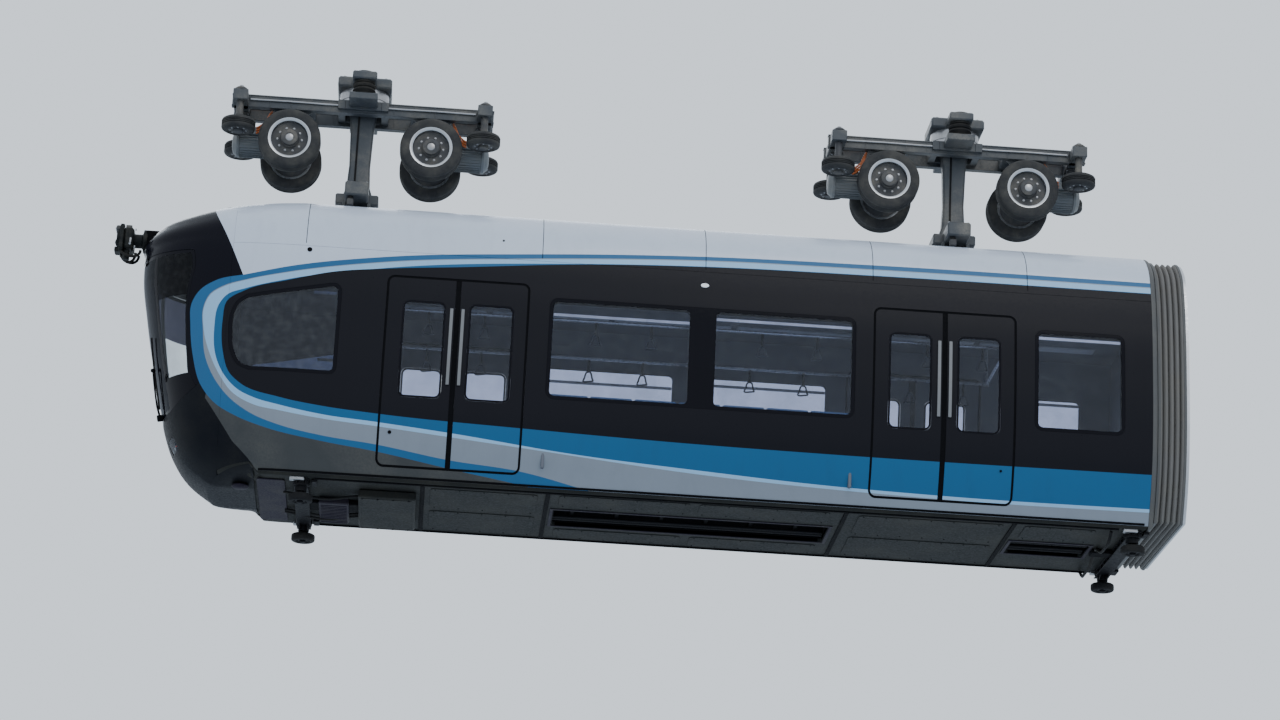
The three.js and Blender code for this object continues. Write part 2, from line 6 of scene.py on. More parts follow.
import bmesh
import bpy
import numpy as np
from mathutils import Matrix, Vector, kdtree
from mathutils.geometry import delaunay_2d_cdt


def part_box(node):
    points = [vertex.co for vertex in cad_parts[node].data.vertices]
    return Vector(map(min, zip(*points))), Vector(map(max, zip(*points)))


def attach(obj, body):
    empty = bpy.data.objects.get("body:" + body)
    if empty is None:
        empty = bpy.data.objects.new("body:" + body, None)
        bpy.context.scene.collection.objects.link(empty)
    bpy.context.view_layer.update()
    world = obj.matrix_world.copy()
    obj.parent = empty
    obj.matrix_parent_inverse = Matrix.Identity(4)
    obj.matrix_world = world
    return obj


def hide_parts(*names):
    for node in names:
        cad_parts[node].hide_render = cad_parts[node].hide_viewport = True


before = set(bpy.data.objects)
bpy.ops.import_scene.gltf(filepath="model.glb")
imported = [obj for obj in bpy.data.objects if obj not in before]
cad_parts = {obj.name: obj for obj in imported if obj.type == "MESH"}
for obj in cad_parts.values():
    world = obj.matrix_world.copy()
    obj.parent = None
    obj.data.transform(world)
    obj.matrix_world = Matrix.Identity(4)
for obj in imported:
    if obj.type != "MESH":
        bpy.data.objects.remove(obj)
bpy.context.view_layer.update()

# Driving dimensions. Places along the car (a) are counted forward from the gangway wall,
# heights (h) upward from the underside of the body.
GANGWAY_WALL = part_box("rear_end_wall")[0].x
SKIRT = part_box("underframe")[0].z
END_WALL = 0.06
NOSE_SPLIT = 9.6
NOSE_START = 8.9
NOSE_ARC = 2.0
NOSE_ROUNDNESS = 2.5
ROOF_SPLIT = 2.42
PAN_TOP = 0.03
CROWN, CROWN_FLAT = 3.153, 3.149
GAP = 0.0015
GROOVE_WIDTH, GROOVE_DEPTH = 0.007, 0.005

UP, DOWN, AHEAD, BACK, LEFT, RIGHT = (0, 0, 1), (0, 0, -1), (1, 0, 0), (-1, 0, 0), (0, 1, 0), (0, -1, 0)

# Half width of the body by height, then the foremost point of the nose by height
SECTION = [(0, 0.96), (0.15, 1.02), (0.3, 1.08), (0.6, 1.16), (1.0, 1.2), (1.6, 1.19), (2.1, 1.15),
           (2.5, 1.08), (2.79, 0.97), (2.92, 0.85), (3.02, 0.70), (3.09, 0.50), (3.15, 0.28), (CROWN, 0)]
NOSE = [(0, 9.72), (0.15, 9.94), (0.37, 10.11), (0.58, 10.20), (0.88, 10.28), (1.4, 10.41), (1.83, 10.50),
        (2.25, 10.57), (2.51, 10.57), (2.84, 10.53), (2.97, 10.37), (3.03, 10.16), (3.10, 9.94), (3.15, 9.64)]

# The body is laid out straight and then bent: ahead of the roof its crown droops toward the nose by
# these falls, in full above the droop's heights, and below the nose its lower corners rise outward.
DROOP = [(8.9, 0), (9.2, 0.02), (9.5, 0.048), (9.8, 0.082), (10.1, 0.13), (10.4, 0.162), (10.6, 0.185)]
DROOP_HEIGHTS = (2.35, 2.85)
CHIN_START = 9.22
CHIN_FLAT, CHIN_SLOPE, CHIN_RISE_HEIGHT = 0.42, 0.22, 0.3

# The camera stands at floor level beside the car and looks up at it. Lines of the livery are given
# as seen from there, on the upright plane through the widest part of the side.
CAMERA_ALONG, CAMERA_Y, CAMERA_HEIGHT = 7.37, 35.8, -9.617
SEEN_PLANE, SEEN_CAMERA_HEIGHT = 1.2, -9.557
PHOTO_HEADING, PHOTO_PITCH = math.radians(13.14), math.radians(14.66)

# Doorways and windows
DOORS = {"front": (7.262, 0.735, [(6.70, 7.12), (7.40, 7.80)]),
         "rear": (2.226, 0.745, [(1.665, 2.075), (2.38, 2.785)])}
DOOR_HEIGHTS = (0.135, 2.15)
DOOR_CORNER = 0.08
SEAL_WIDTH, MEETING_HALF = 0.024, 0.027
BAR_OFFSET, BAR_HALF = 0.058, 0.016
LEAF_WINDOW = (0.86, 1.86)
SALOON_PANES = [(3.19, 4.60), (4.87, 6.28)]
REAR_PANES = [(0.39, 1.25)]
PANE_HEIGHTS = (0.95, 1.97)
PANE_CORNER = 0.05
GLASS_BORDER = 0.04

# Bogies and the wheels on them, from the frame
BOGIES = {end: sum((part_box(f"{end}_hanger")[side].x for side in (0, 1))) / 2 for end in ("front", "rear")}
WHEEL_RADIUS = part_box("front_bogie_front_wheelset")[1].z / 2
SIDES = {"left": 1, "right": -1}


def along(a):
    return GANGWAY_WALL + a


def above(h):
    return SKIRT + h


class Smooth:
    """Smooth curve through values at growing places, straight beyond its ends."""

    def __init__(self, places, values):
        self.t = np.array(places, float)
        self.v = np.array(values, float)
        width = np.diff(self.t)
        slope = np.diff(self.v) / width
        self.m = np.empty_like(self.v)
        self.m[1:-1] = (slope[:-1] * width[1:] + slope[1:] * width[:-1]) / (width[:-1] + width[1:])
        self.m[0] = slope[0]
        self.m[-1] = slope[-1]

    def __call__(self, t):
        t = np.asarray(t, float)
        i = np.clip(np.searchsorted(self.t, t) - 1, 0, len(self.t) - 2)
        width = self.t[i + 1] - self.t[i]
        s = np.clip((t - self.t[i]) / width, 0, 1)
        curve = (self.v[i] * (1 + 2 * s) * (1 - s) ** 2 + self.v[i + 1] * s * s * (3 - 2 * s)
                 + width * self.m[i] * s * (1 - s) ** 2 - width * self.m[i + 1] * s * s * (1 - s))
        return curve + np.minimum(t - self.t[0], 0) * self.m[0] + np.maximum(t - self.t[-1], 0) * self.m[-1]


# The section as a curve over its own length, from the lower edge to the crown
section_places = np.concatenate([[0], np.cumsum([math.dist(p, q) for p, q in zip(SECTION, SECTION[1:])])])
half_along_section = Smooth(section_places, [half for _, half in SECTION])
height_along_section = Smooth(section_places, [height for height, _ in SECTION])
SECTION_LENGTH = section_places[-1]
dense_places = np.linspace(0, SECTION_LENGTH, 600)
dense_heights = np.maximum.accumulate(height_along_section(dense_places))
nose_tip = Smooth(*zip(*NOSE))
droop = Smooth(*zip(*DROOP))


def eased(share):
    share = np.clip(share, 0, 1)
    return share * share * (3 - 2 * share)


def fall(a, h):
    """How far the straight body's places sink where the crown droops."""
    low, high = DROOP_HEIGHTS
    return np.where(a > DROOP[0][0], droop(a), 0) * eased((h - low) / (high - low))


def bent(points):
    """Places on the real body of places on the straight one."""
    a, y, h = np.asarray(points, float).T
    rise = (eased((a - CHIN_START + 0.05) / 0.1) * CHIN_SLOPE * np.maximum(np.abs(y) - CHIN_FLAT, 0)
            * np.clip(1 - h / CHIN_RISE_HEIGHT, 0, 1))
    return np.column_stack([a, y, h - fall(a, h) + rise])


def bent_normals(points, normals):
    """Normals of the real body where the straight one has these."""
    step = 0.002
    axis = np.where(np.abs(normals[:, 2:]) < 0.9, UP, AHEAD)
    first = np.cross(normals, axis)
    first /= np.linalg.norm(first, axis=1, keepdims=True)
    second = np.cross(normals, first)
    first, second = (bent(points + way * step) - bent(points - way * step) for way in (first, second))
    result = np.cross(first, second)
    result *= np.sign((result * normals).sum(1, keepdims=True))
    return result / np.linalg.norm(result, axis=1, keepdims=True)


def straight_height(a, h):
    """Height on the straight body of a place on the real one."""
    straight = h
    for _ in range(20):
        straight = h + float(fall(a, straight))
    return straight


def section_place(h):
    """Place on the section's curve of a height."""
    return np.interp(h, dense_heights, dense_places)


def surface(chart):
    """Points of the body's left side; a chart's u runs along it and round the nose, its p up the section."""
    u, p = np.asarray(chart, float).T
    h = height_along_section(p)
    angle = np.clip((u - NOSE_START) / NOSE_ARC, 0, 1) * math.pi / 2
    sine, cosine = np.sin(angle), np.cos(angle)
    radius = (sine ** NOSE_ROUNDNESS + cosine ** NOSE_ROUNDNESS) ** (-1 / NOSE_ROUNDNESS)
    a = np.where(u < NOSE_START, u, NOSE_START + radius * sine * (nose_tip(h) - NOSE_START))
    return np.stack([a, half_along_section(p) * radius * cosine, h], 1)


def unroll(side_view):
    """Chart places of (a, h) places in the side view."""
    a, h = np.asarray(side_view, float).T
    reach = np.clip((a - NOSE_START) / (nose_tip(h) - NOSE_START), 0, 1)
    rest = (1 - reach ** NOSE_ROUNDNESS) ** (1 / NOSE_ROUNDNESS)
    turn = np.arctan2(reach, rest) / (math.pi / 2) * NOSE_ARC
    return np.stack([np.where(a < NOSE_START, a, NOSE_START + turn), section_place(h)], 1)


def body_level(points):
    """Below 0 inside the body and above 0 outside it."""
    a, y, h = points.T
    reach = np.maximum(a - NOSE_START, 0) / np.maximum(nose_tip(h) - NOSE_START, 0.2)
    half = np.maximum(half_along_section(section_place(h)), 0.02)
    half = np.where(h < 0, half + h * 0.4, half)
    return reach ** NOSE_ROUNDNESS + (np.abs(y) / half) ** NOSE_ROUNDNESS - 1 + np.maximum(h - CROWN, 0) * 20


def outward(points):
    """Unit normals of the body's surface."""
    step = 0.004
    gradient = np.stack([body_level(points + step * axis) - body_level(points - step * axis)
                         for axis in np.eye(3)], 1)
    crown = (points[:, 2] > CROWN_FLAT) & (points[:, 0] < NOSE_SPLIT)
    gradient[crown] = UP
    return gradient / np.linalg.norm(gradient, axis=1, keepdims=True)


def half_at(a, h):
    return surface(unroll(np.stack([a, h], 1)))[:, 1]


def projected(seen):
    """Side-view places on the body of places seen on the plane through its widest part."""
    seen = np.asarray(seen, float)
    a, h = seen.T
    for _ in range(5):
        growth = 1 + (SEEN_PLANE - half_at(a, h)) / (CAMERA_Y - SEEN_PLANE)
        a = CAMERA_ALONG + (seen[:, 0] - CAMERA_ALONG) * growth
        h = CAMERA_HEIGHT + (seen[:, 1] - SEEN_CAMERA_HEIGHT) * growth
    return np.stack([a, h], 1)


# The nose is laid flat round the direction that it points in, so that nothing on it is squeezed
NOSE_CENTRE = np.array([9.2, 0, 1.45])
NOSE_SCALE = 1.3


def nose_chart(points):
    way = points - NOSE_CENTRE
    across = np.hypot(way[:, 1], way[:, 2])
    turn = np.arctan2(across, way[:, 0]) * NOSE_SCALE / np.maximum(across, 1e-9)
    return way[:, 1:] * turn[:, None]


def nose_surface(chart):
    chart = np.asarray(chart, float)
    length = np.maximum(np.linalg.norm(chart, axis=1), 1e-9)
    angle = length / NOSE_SCALE
    way = np.column_stack([np.cos(angle), chart * (np.sin(angle) / length)[:, None]])
    near = np.full(len(chart), 0.1)
    far = np.full(len(chart), 2.6)
    for _ in range(26):
        middle = (near + far) / 2
        outside = body_level(NOSE_CENTRE + way * middle[:, None]) > 0
        far = np.where(outside, middle, far)
        near = np.where(outside, near, middle)
    return NOSE_CENTRE + way * ((near + far) / 2)[:, None]


def oval(centre, reach, count):
    """Outline round a centre, from its half width and its half height."""
    turns = [i / count * math.tau for i in range(count)]
    return np.array([(centre[0] + reach[0] * math.cos(turn), centre[1] + reach[1] * math.sin(turn))
                     for turn in turns])


def dense(points, step=0.06, closed=False):
    """The same line with no stretch longer than a step."""
    points = [np.asarray(p, float) for p in points]
    ends = points[1:] + points[:1] if closed else points[1:]
    line = []
    for start, end in zip(points, ends):
        count = max(1, math.ceil(np.linalg.norm(end - start) / step))
        line += [start + (end - start) * i / count for i in range(count)]
    return np.array(line if closed else line + [points[-1]])


def curved(points, step=0.05):
    """Smooth line through points, with a point at each step."""
    points = np.asarray(points, float)
    places = np.concatenate([[0], np.cumsum(np.linalg.norm(np.diff(points, axis=0), axis=1))])
    wanted = np.linspace(0, places[-1], max(2, math.ceil(places[-1] / step)))
    return np.stack([Smooth(places, column)(wanted) for column in points.T], 1)


def rounded(a_range, h_range, radius, steps=6):
    """Rectangle with round corners, counted leftwards."""
    (a0, a1), (h0, h1) = a_range, h_range
    corners = [(a1 - radius, h1 - radius), (a0 + radius, h1 - radius), (a0 + radius, h0 + radius),
               (a1 - radius, h0 + radius)]
    return np.array([(ca + radius * math.cos((turn + i / steps) * math.pi / 2),
                      ch + radius * math.sin((turn + i / steps) * math.pi / 2))
                     for turn, (ca, ch) in enumerate(corners) for i in range(steps + 1)])


def grown(outline, growth):
    """Outline with each side moved outward; an outline is counted leftwards."""
    outline = np.asarray(outline, float)
    keep = np.linalg.norm(outline - np.roll(outline, 1, 0), axis=1) > 1e-6
    outline = outline[keep]
    before = outline - np.roll(outline, 1, 0)
    after = np.roll(before, -1, 0)
    normals = [np.stack([side[:, 1], -side[:, 0]], 1) / np.linalg.norm(side, axis=1, keepdims=True)
               for side in (before, after)]
    share = 1 + (normals[0] * normals[1]).sum(1, keepdims=True)
    return outline + growth * (normals[0] + normals[1]) / np.maximum(share, 0.4)


def looped(line):
    """The line brought back to its start."""
    return np.concatenate([line, line[:1]])


def laid_flat(outline, step=0.05):
    """Chart places of a closed outline in the side view."""
    return unroll(dense(outline, step, True))


def within(points, outline):
    """Which points lie inside an outline."""
    a, h = points[:, 0:1], points[:, 1:2]
    start = np.asarray(outline, float)
    end = np.roll(start, -1, 0)
    rises = (start[:, 1] > h) != (end[:, 1] > h)
    run = end[:, 1] - start[:, 1]
    cross = start[:, 0] + (end[:, 0] - start[:, 0]) * (h - start[:, 1]) / np.where(run == 0, 1, run)
    return (rises & (a < cross)).sum(1) % 2 == 1


def triangulated(outline, holes=(), lines=(), spacing=0.07):
    """Flat mesh inside an outline, with the given lines as edges: vertices and triangles."""
    vertices, edges, guard = [], [], []
    for line, closed in [(outline, True), *((hole, True) for hole in holes),
                         *((line, False) for line in lines)]:
        line = dense(line, spacing, closed)
        first = len(vertices)
        vertices += list(line)
        count = len(line)
        edges += [(first + i, first + (i + 1) % count) for i in range(count if closed else count - 1)]
        guard += list(dense(line, spacing / 6, closed))
    tree = kdtree.KDTree(len(guard))
    for i, point in enumerate(guard):
        tree.insert((*point, 0), i)
    tree.balance()
    low, high = np.min(outline, 0), np.max(outline, 0)
    rows = np.arange(low[1], high[1], spacing * 0.87)
    grid = np.array([(a + (row % 2) * spacing / 2, h) for row, h in enumerate(rows)
                     for a in np.arange(low[0], high[0], spacing)])
    keep = within(grid, outline)
    for hole in holes:
        keep &= ~within(grid, hole)
    vertices += [p for p in grid[keep] if tree.find((*p, 0))[2] > spacing * 0.45]
    result = delaunay_2d_cdt([Vector(v) for v in vertices], edges, [], 0, 1e-7)
    flat = np.array([tuple(v) for v in result[0]])
    triangles = np.array([tuple(f) for f in result[2]])
    middle = flat[triangles].mean(1)
    keep = within(middle, outline)
    for hole in holes:
        keep &= ~within(middle, hole)
    return flat, triangles[keep]


def line_distance(points, line):
    """Distance of each point to a line of straight stretches."""
    best = np.full(len(points), np.inf)
    for start, end in zip(line, line[1:]):
        way = end - start
        share = np.clip((points - start) @ way / max(way @ way, 1e-12), 0, 1)
        best = np.minimum(best, np.linalg.norm(points - start - share[:, None] * way, axis=1))
    return best


def in_frame(points):
    return np.asarray(points, float) + (GANGWAY_WALL, 0, SKIRT)


def at(a, y, h):
    return in_frame((a, y, h))


def new_object(name, vertices, faces, materials, indices, normals=None, sharp=38):
    mesh = bpy.data.meshes.new(name)
    mesh.from_pydata([tuple(v) for v in vertices], [], [tuple(f) for f in faces])
    for material in materials:
        mesh.materials.append(material)
    mesh.polygons.foreach_set("material_index", np.asarray(indices, np.int32))
    mesh.shade_smooth()
    if normals is None:
        mesh.set_sharp_from_angle(angle=math.radians(sharp))
    else:
        mesh.normals_split_custom_set([tuple(n) for n in normals])
    piece = bpy.data.objects.new(name, mesh)
    bpy.context.scene.collection.objects.link(piece)
    return piece


def placed(piece, body="root", replaces=()):
    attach(piece, body)
    if replaces:
        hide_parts(*replaces)
    return piece


class Skin:
    """A closed sheet that follows the body's surface, cut from an outline laid flat."""

    def __init__(self, outline, holes=(), lines=(), spacing=0.07, depths=(0, 0.014), shape=surface,
                 grooves=()):
        tracks = []
        for groove in grooves:
            side = np.gradient(np.asarray(groove, float), axis=0)
            side = np.stack([-side[:, 1], side[:, 0]], 1) / np.linalg.norm(side, axis=1, keepdims=True)
            tracks += [groove + side * offset for offset in (-GROOVE_WIDTH / 2, 0, GROOVE_WIDTH / 2)]
        flat, self.triangles = triangulated(outline, holes, [*lines, *tracks], spacing)
        points = shape(flat)
        middle = flat[self.triangles].mean(1)
        self.middle = points[self.triangles].mean(1)
        self.normals = bent_normals(points, outward(points))
        points = bent(points)
        sunk = np.zeros(len(flat))
        self.in_groove = np.zeros(len(middle), bool)
        for groove in grooves:
            groove = np.asarray(groove, float)
            sunk = np.where(line_distance(flat, groove) < GROOVE_WIDTH * 0.2, GROOVE_DEPTH, sunk)
            self.in_groove |= line_distance(middle, groove) < GROOVE_WIDTH * 0.5
        corner = points[self.triangles]
        facing = np.cross(corner[:, 1] - corner[:, 0], corner[:, 2] - corner[:, 0])
        flip = (facing * self.normals[self.triangles[:, 0]]).sum(1) < 0
        self.triangles[flip] = self.triangles[flip][:, ::-1]
        self.outer = points - self.normals * (depths[0] + sunk)[:, None]
        self.inner = points - self.normals * depths[1]

    def made(self, name, materials, indices, sign=1, inside=None):
        """The sheet as an object; inside is the material of its back, or None where both faces match."""
        count = len(self.outer)
        triangles = self.triangles
        paired = set()
        for a, b, c in triangles:
            paired.update(((a, b), (b, c), (c, a)))
        rims, rim_indices = [], []
        for (a, b, c), index in zip(triangles, indices):
            for start, end in ((a, b), (b, c), (c, a)):
                if (end, start) not in paired:
                    rims.append((end, start, start + count, end + count))
                    rim_indices.append(index)
        vertices = np.concatenate([self.outer, self.inner])
        back = triangles[:, ::-1] + count
        rims = np.array(rims)
        corner = vertices[rims]
        rim_normals = np.cross(corner[:, 1] - corner[:, 0], corner[:, 3] - corner[:, 0])
        rim_normals /= np.maximum(np.linalg.norm(rim_normals, axis=1, keepdims=True), 1e-12)
        normals = np.concatenate([self.normals[triangles].reshape(-1, 3),
                                  -self.normals[triangles[:, ::-1]].reshape(-1, 3),
                                  np.repeat(rim_normals, 4, 0)])
        faces = [*triangles, *back, *rims]
        used = np.zeros(len(vertices), bool)
        used[np.concatenate([triangles.ravel(), back.ravel()])] = True
        number = np.cumsum(used) - 1
        vertices = vertices[used] * (1, sign, 1)
        faces = [number[np.asarray(face)] for face in faces]
        if sign < 0:
            faces = [face[::-1] for face in faces]
            sizes = np.concatenate([[0], np.cumsum([len(face) for face in faces])])
            normals = np.concatenate([normals[s:e][::-1] for s, e in zip(sizes, sizes[1:])]) * (1, -1, 1)
        back_indices = indices if inside is None else [inside] * len(back)
        return new_object(name, in_frame(vertices), faces, materials,
                          [*indices, *back_indices, *rim_indices], normals)


def on_both_sides(skin, name, materials, indices=0, inside=None, replaces=None):
    """The sheet on the left and its mirror image on the right, both named after their side."""
    indices = np.broadcast_to(indices, len(skin.middle))
    for side, sign in SIDES.items():
        placed(skin.made(f"{side}_{name}", materials, indices, sign, inside),
               replaces=[f"{side}_{replaces}"] if replaces else ())


# Materials

def node(tree, kind, inputs=None, **settings):
    """A shader node; inputs are values or the sockets that feed them."""
    made = tree.nodes.new(kind)
    for name, value in settings.items():
        setattr(made, name, value)
    for name, value in (inputs or {}).items():
        if isinstance(value, bpy.types.NodeSocket):
            tree.links.new(value, made.inputs[name])
        else:
            made.inputs[name].default_value = value
    return made


def noise(tree, scale, detail=4, stretch=(1, 1, 1)):
    """Noise from 0 to 1 over the piece, stretched along an axis where its scale is small."""
    place = node(tree, "ShaderNodeTexCoord").outputs["Object"]
    mapped = node(tree, "ShaderNodeMapping", {"Vector": place, "Scale": stretch}).outputs["Vector"]
    return node(tree, "ShaderNodeTexNoise", {"Vector": mapped, "Scale": scale, "Detail": detail,
                                             "Roughness": 0.55}).outputs["Fac"]


def ranged(tree, value, low, high, to_low=0.0, to_high=1.0):
    return node(tree, "ShaderNodeMapRange", {"Value": value, "From Min": low, "From Max": high,
                                             "To Min": to_low, "To Max": to_high}).outputs["Result"]


def mixed(tree, factor, first, second):
    mix = node(tree, "ShaderNodeMix", data_type="RGBA")
    colors = [socket for socket in mix.inputs if socket.type == "RGBA"]
    for socket, value in ((mix.inputs[0], factor), (colors[0], first), (colors[1], second)):
        if isinstance(value, bpy.types.NodeSocket):
            tree.links.new(value, socket)
        else:
            socket.default_value = value
    return [socket for socket in mix.outputs if socket.type == "RGBA"][0]


def surface_material(name, color, rough=0.4, metal=0.0, coat=0.0, tint=0.12, patch=1.5, rough_spread=0.12,
                     grain=0.0, grain_scale=300, stretch=(1, 1, 1), streaks=0.0, dust=0.0,
                     dust_color=(0.30, 0.27, 0.22), specular=0.5, glow=0.0):
    """Paint, metal, plastic or rubber: patchy colour, uneven gloss, a fine grain, rain streaks and dust."""
    material = bpy.data.materials.new(name)
    material.use_nodes = True
    tree = material.node_tree
    shader = tree.nodes["Principled BSDF"]
    full = (*color, 1)
    darker = (*(c * (1 - tint) for c in color), 1)
    patches = noise(tree, patch, 5)
    shade = mixed(tree, ranged(tree, patches, 0.3, 0.7), full, darker)
    fine = noise(tree, 45, 6, stretch)
    if streaks:
        runs = noise(tree, 9, 4, (1, 1, 0.08))
        shade = mixed(tree, ranged(tree, runs, 0.5, 0.8, 0, streaks), shade, (*(c * 0.45 for c in color), 1))
    if dust:
        settled = node(tree, "ShaderNodeMath", {0: ranged(tree, patches, 0.35, 0.75), 1: fine},
                       operation="MULTIPLY").outputs[0]
        shade = mixed(tree, ranged(tree, settled, 0.1, 0.6, 0, dust), shade, (*dust_color, 1))
    tree.links.new(shade, shader.inputs["Base Color"])
    gloss = ranged(tree, fine, 0.3, 0.7, max(rough - rough_spread, 0.02), min(rough + rough_spread, 1))
    tree.links.new(gloss, shader.inputs["Roughness"])
    shader.inputs["Metallic"].default_value = metal
    shader.inputs["Specular IOR Level"].default_value = specular
    shader.inputs["Coat Weight"].default_value = coat
    shader.inputs["Coat Roughness"].default_value = 0.06
    if glow:
        shader.inputs["Emission Color"].default_value = full
        shader.inputs["Emission Strength"].default_value = glow
    if grain:
        bump = node(tree, "ShaderNodeBump", {"Height": noise(tree, grain_scale, 3, stretch),
                                             "Strength": grain, "Distance": 0.002})
        tree.links.new(bump.outputs["Normal"], shader.inputs["Normal"])
    return material


def glass_material(name, tint, gloss=1.0, dirt=0.04):
    """Clear safety glass: tinted to look through, mirror-like at a shallow angle, with a film of dust."""
    material = bpy.data.materials.new(name)
    material.use_nodes = True
    tree = material.node_tree
    tree.nodes.remove(tree.nodes["Principled BSDF"])
    smudges = noise(tree, 3, 6)
    clear = node(tree, "ShaderNodeBsdfTransparent", {
        "Color": mixed(tree, ranged(tree, smudges, 0.4, 0.7), (*tint, 1), (*(c * 0.93 for c in tint), 1))})
    shine = node(tree, "ShaderNodeBsdfGlossy", {"Color": (0.9 * gloss, 0.94 * gloss, gloss, 1),
                                                "Roughness": ranged(tree, smudges, 0.3, 0.7, 0.01, 0.05)})
    film = node(tree, "ShaderNodeBsdfDiffuse", {"Color": (0.55, 0.55, 0.52, 1)})
    leaving = node(tree, "ShaderNodeNewGeometry").outputs["Backfacing"]
    mirror = node(tree, "ShaderNodeFresnel", {"IOR": ranged(tree, leaving, 0, 1, 1.5, 1 / 1.5)})
    pane = node(tree, "ShaderNodeMixShader", {0: mirror.outputs[0], 1: clear.outputs[0], 2: shine.outputs[0]})
    dusty = node(tree, "ShaderNodeMixShader", {
        0: ranged(tree, noise(tree, 14, 6), 0.45, 0.75, 0, dirt), 1: pane.outputs[0], 2: film.outputs[0]})
    tree.links.new(dusty.outputs[0], tree.nodes["Material Output"].inputs["Surface"])
    return material


BODY_GLOSS = dict(tint=0.05, streaks=0.10, rough_spread=0.05, grain_scale=40)
# White body paint; its blue cast is a painted sky reflection.
white_and_sky_reflection = surface_material("white_paint", (0.53, 0.59, 0.69), 0.34, patch=0.8, grain=0.02, coat=0.2,
                         **BODY_GLOSS)
black = surface_material("black_paint", (0.0075, 0.0075, 0.011), 0.32, patch=0.7, grain=0.015, specular=0.11,
                         **BODY_GLOSS)
blue = surface_material("blue_paint", (0.006, 0.10, 0.23), 0.34, patch=0.9, grain=0.02, specular=0.25,
                        **BODY_GLOSS)
# Painted sky reflection and painted highlight: the ring's silver-white middle stripe drawn pale blue over
# most of the ring, and as a thin bright line along the lower ring.
light_stripe_sky_reflection = surface_material("light_stripe_painted_sky_reflection", (0.28, 0.48, 0.68), 0.34, patch=0.9, grain=0.02, specular=0.3,
                             **BODY_GLOSS)
steel_blue = surface_material("steel_blue_paint", (0.012, 0.105, 0.24), 0.34, patch=0.9, grain=0.02,
                              specular=0.25, **BODY_GLOSS)
# Silver stripe paint, drawn darker grey as painted shade where the stripe faces down along the lower side.
silver_in_painted_shade = surface_material("silver_paint_in_painted_shade", (0.22, 0.25, 0.29), 0.42, metal=0.2, patch=1.1, grain=0.02,
                          specular=0.3, **BODY_GLOSS)
grey = surface_material("grey_paint", (0.042, 0.045, 0.046), 0.5, tint=0.12, streaks=0.1, grain=0.03,
                        dust=0.15, specular=0.25)
mask_black = surface_material("mask_black", (0.005, 0.005, 0.009), 0.2, tint=0.1, grain=0.01, grain_scale=30,
                              specular=0.07)
chin_grey = surface_material("chin_grey", (0.006, 0.007, 0.010), 0.5, tint=0.2, grain=0.03, dust=0.04,
                             specular=0.07)
seam_black = surface_material("seam_black", (0.004, 0.004, 0.005), 0.8, grain=0.2, specular=0.06)
rubber = surface_material("black_rubber", (0.010, 0.010, 0.011), 0.75, tint=0.3, grain=0.35, grain_scale=220,
                          dust=0.12, specular=0.15)
lining = surface_material("lining_panel", (0.13, 0.14, 0.165), 0.6, tint=0.06, grain=0.05, grain_scale=90,
                          specular=0.2)
frit = surface_material("glass_border", (0.005, 0.005, 0.008), 0.12, tint=0.1, grain=0.01, specular=0.08)
clear_glass = glass_material("window_glass", (0.80, 0.82, 0.89), 0.55, 0.02)
quarter_glass = glass_material("quarter_glass", (0.95, 0.97, 0.98), 0.3, 0.02)
screen_glass = glass_material("windscreen_glass", (0.22, 0.22, 0.27), 0.25, 0.02)
cab_glass = glass_material("cab_glass", (0.42, 0.45, 0.54), 0.8)
lamp_glass = glass_material("lamp_glass", (0.34, 0.36, 0.40), 0.3, 0.02)
pan_grey = surface_material("underside_paint", (0.017, 0.018, 0.017), 0.65, specular=0.12, tint=0.3,
                            patch=2.2, grain=0.3, grain_scale=160, dust=0.3, dust_color=(0.09, 0.082, 0.065))
pan_dark = surface_material("underside_dark", (0.004, 0.004, 0.005), 0.75, specular=0.06, tint=0.3, patch=3,
                            grain=0.3, dust=0.15, dust_color=(0.05, 0.045, 0.04))
pan_rim = surface_material("recess_rim", (0.020, 0.016, 0.026), 0.6, tint=0.2, patch=4, grain=0.2, dust=0.1,
                           specular=0.1)
under_iron = surface_material("underfloor_iron", (0.008, 0.008, 0.010), 0.6, tint=0.3, patch=6, grain=0.4,
                              grain_scale=170, dust=0.15, dust_color=(0.06, 0.055, 0.05), specular=0.12)
end_grey = surface_material("end_frame_paint", (0.085, 0.086, 0.086), 0.5, tint=0.15, patch=3, grain=0.08,
                            dust=0.2, specular=0.25)
strap_grey = surface_material("strap_plastic", (0.03, 0.038, 0.052), 0.5, tint=0.1, grain=0.1, specular=0.2)
steel = surface_material("bare_steel", (0.42, 0.42, 0.43), 0.4, metal=1, tint=0.2, patch=5, grain=0.1,
                         dust=0.25)
bright_steel = surface_material("brushed_steel", (0.62, 0.63, 0.64), 0.28, metal=1, tint=0.08, patch=4,
                                grain=0.08, stretch=(1, 1, 12))
aluminium = surface_material("aluminium", (0.55, 0.56, 0.58), 0.36, metal=0.9, tint=0.12, patch=3, grain=0.08,
                             dust=0.1)
frame_paint = surface_material("bogie_paint", (0.045, 0.052, 0.060), 0.5, tint=0.25, patch=3, grain=0.25,
                               grain_scale=140, dust=0.45)
cast_iron = surface_material("cast_iron", (0.055, 0.056, 0.060), 0.6, metal=0.4, tint=0.3, patch=6, grain=0.5,
                             grain_scale=170, dust=0.45)
bar_grey = surface_material("door_bar", (0.17, 0.175, 0.185), 0.45, metal=0.2, tint=0.15, patch=6, grain=0.1,
                            dust=0.15)
motor_grey = surface_material("motor_paint", (0.13, 0.145, 0.155), 0.5, metal=0.1, tint=0.2, patch=4,
                              grain=0.3, grain_scale=180, dust=0.35)
coupler_iron = surface_material("coupler_iron", (0.006, 0.008, 0.009), 0.55, specular=0.15, tint=0.3, patch=8,
                                grain=0.4, grain_scale=160, dust=0.12)
tyre_rubber = surface_material("tyre_rubber", (0.018, 0.018, 0.019), 0.8, tint=0.25, patch=6, grain=0.4,
                               grain_scale=260, dust=0.45, dust_color=(0.13, 0.12, 0.10))
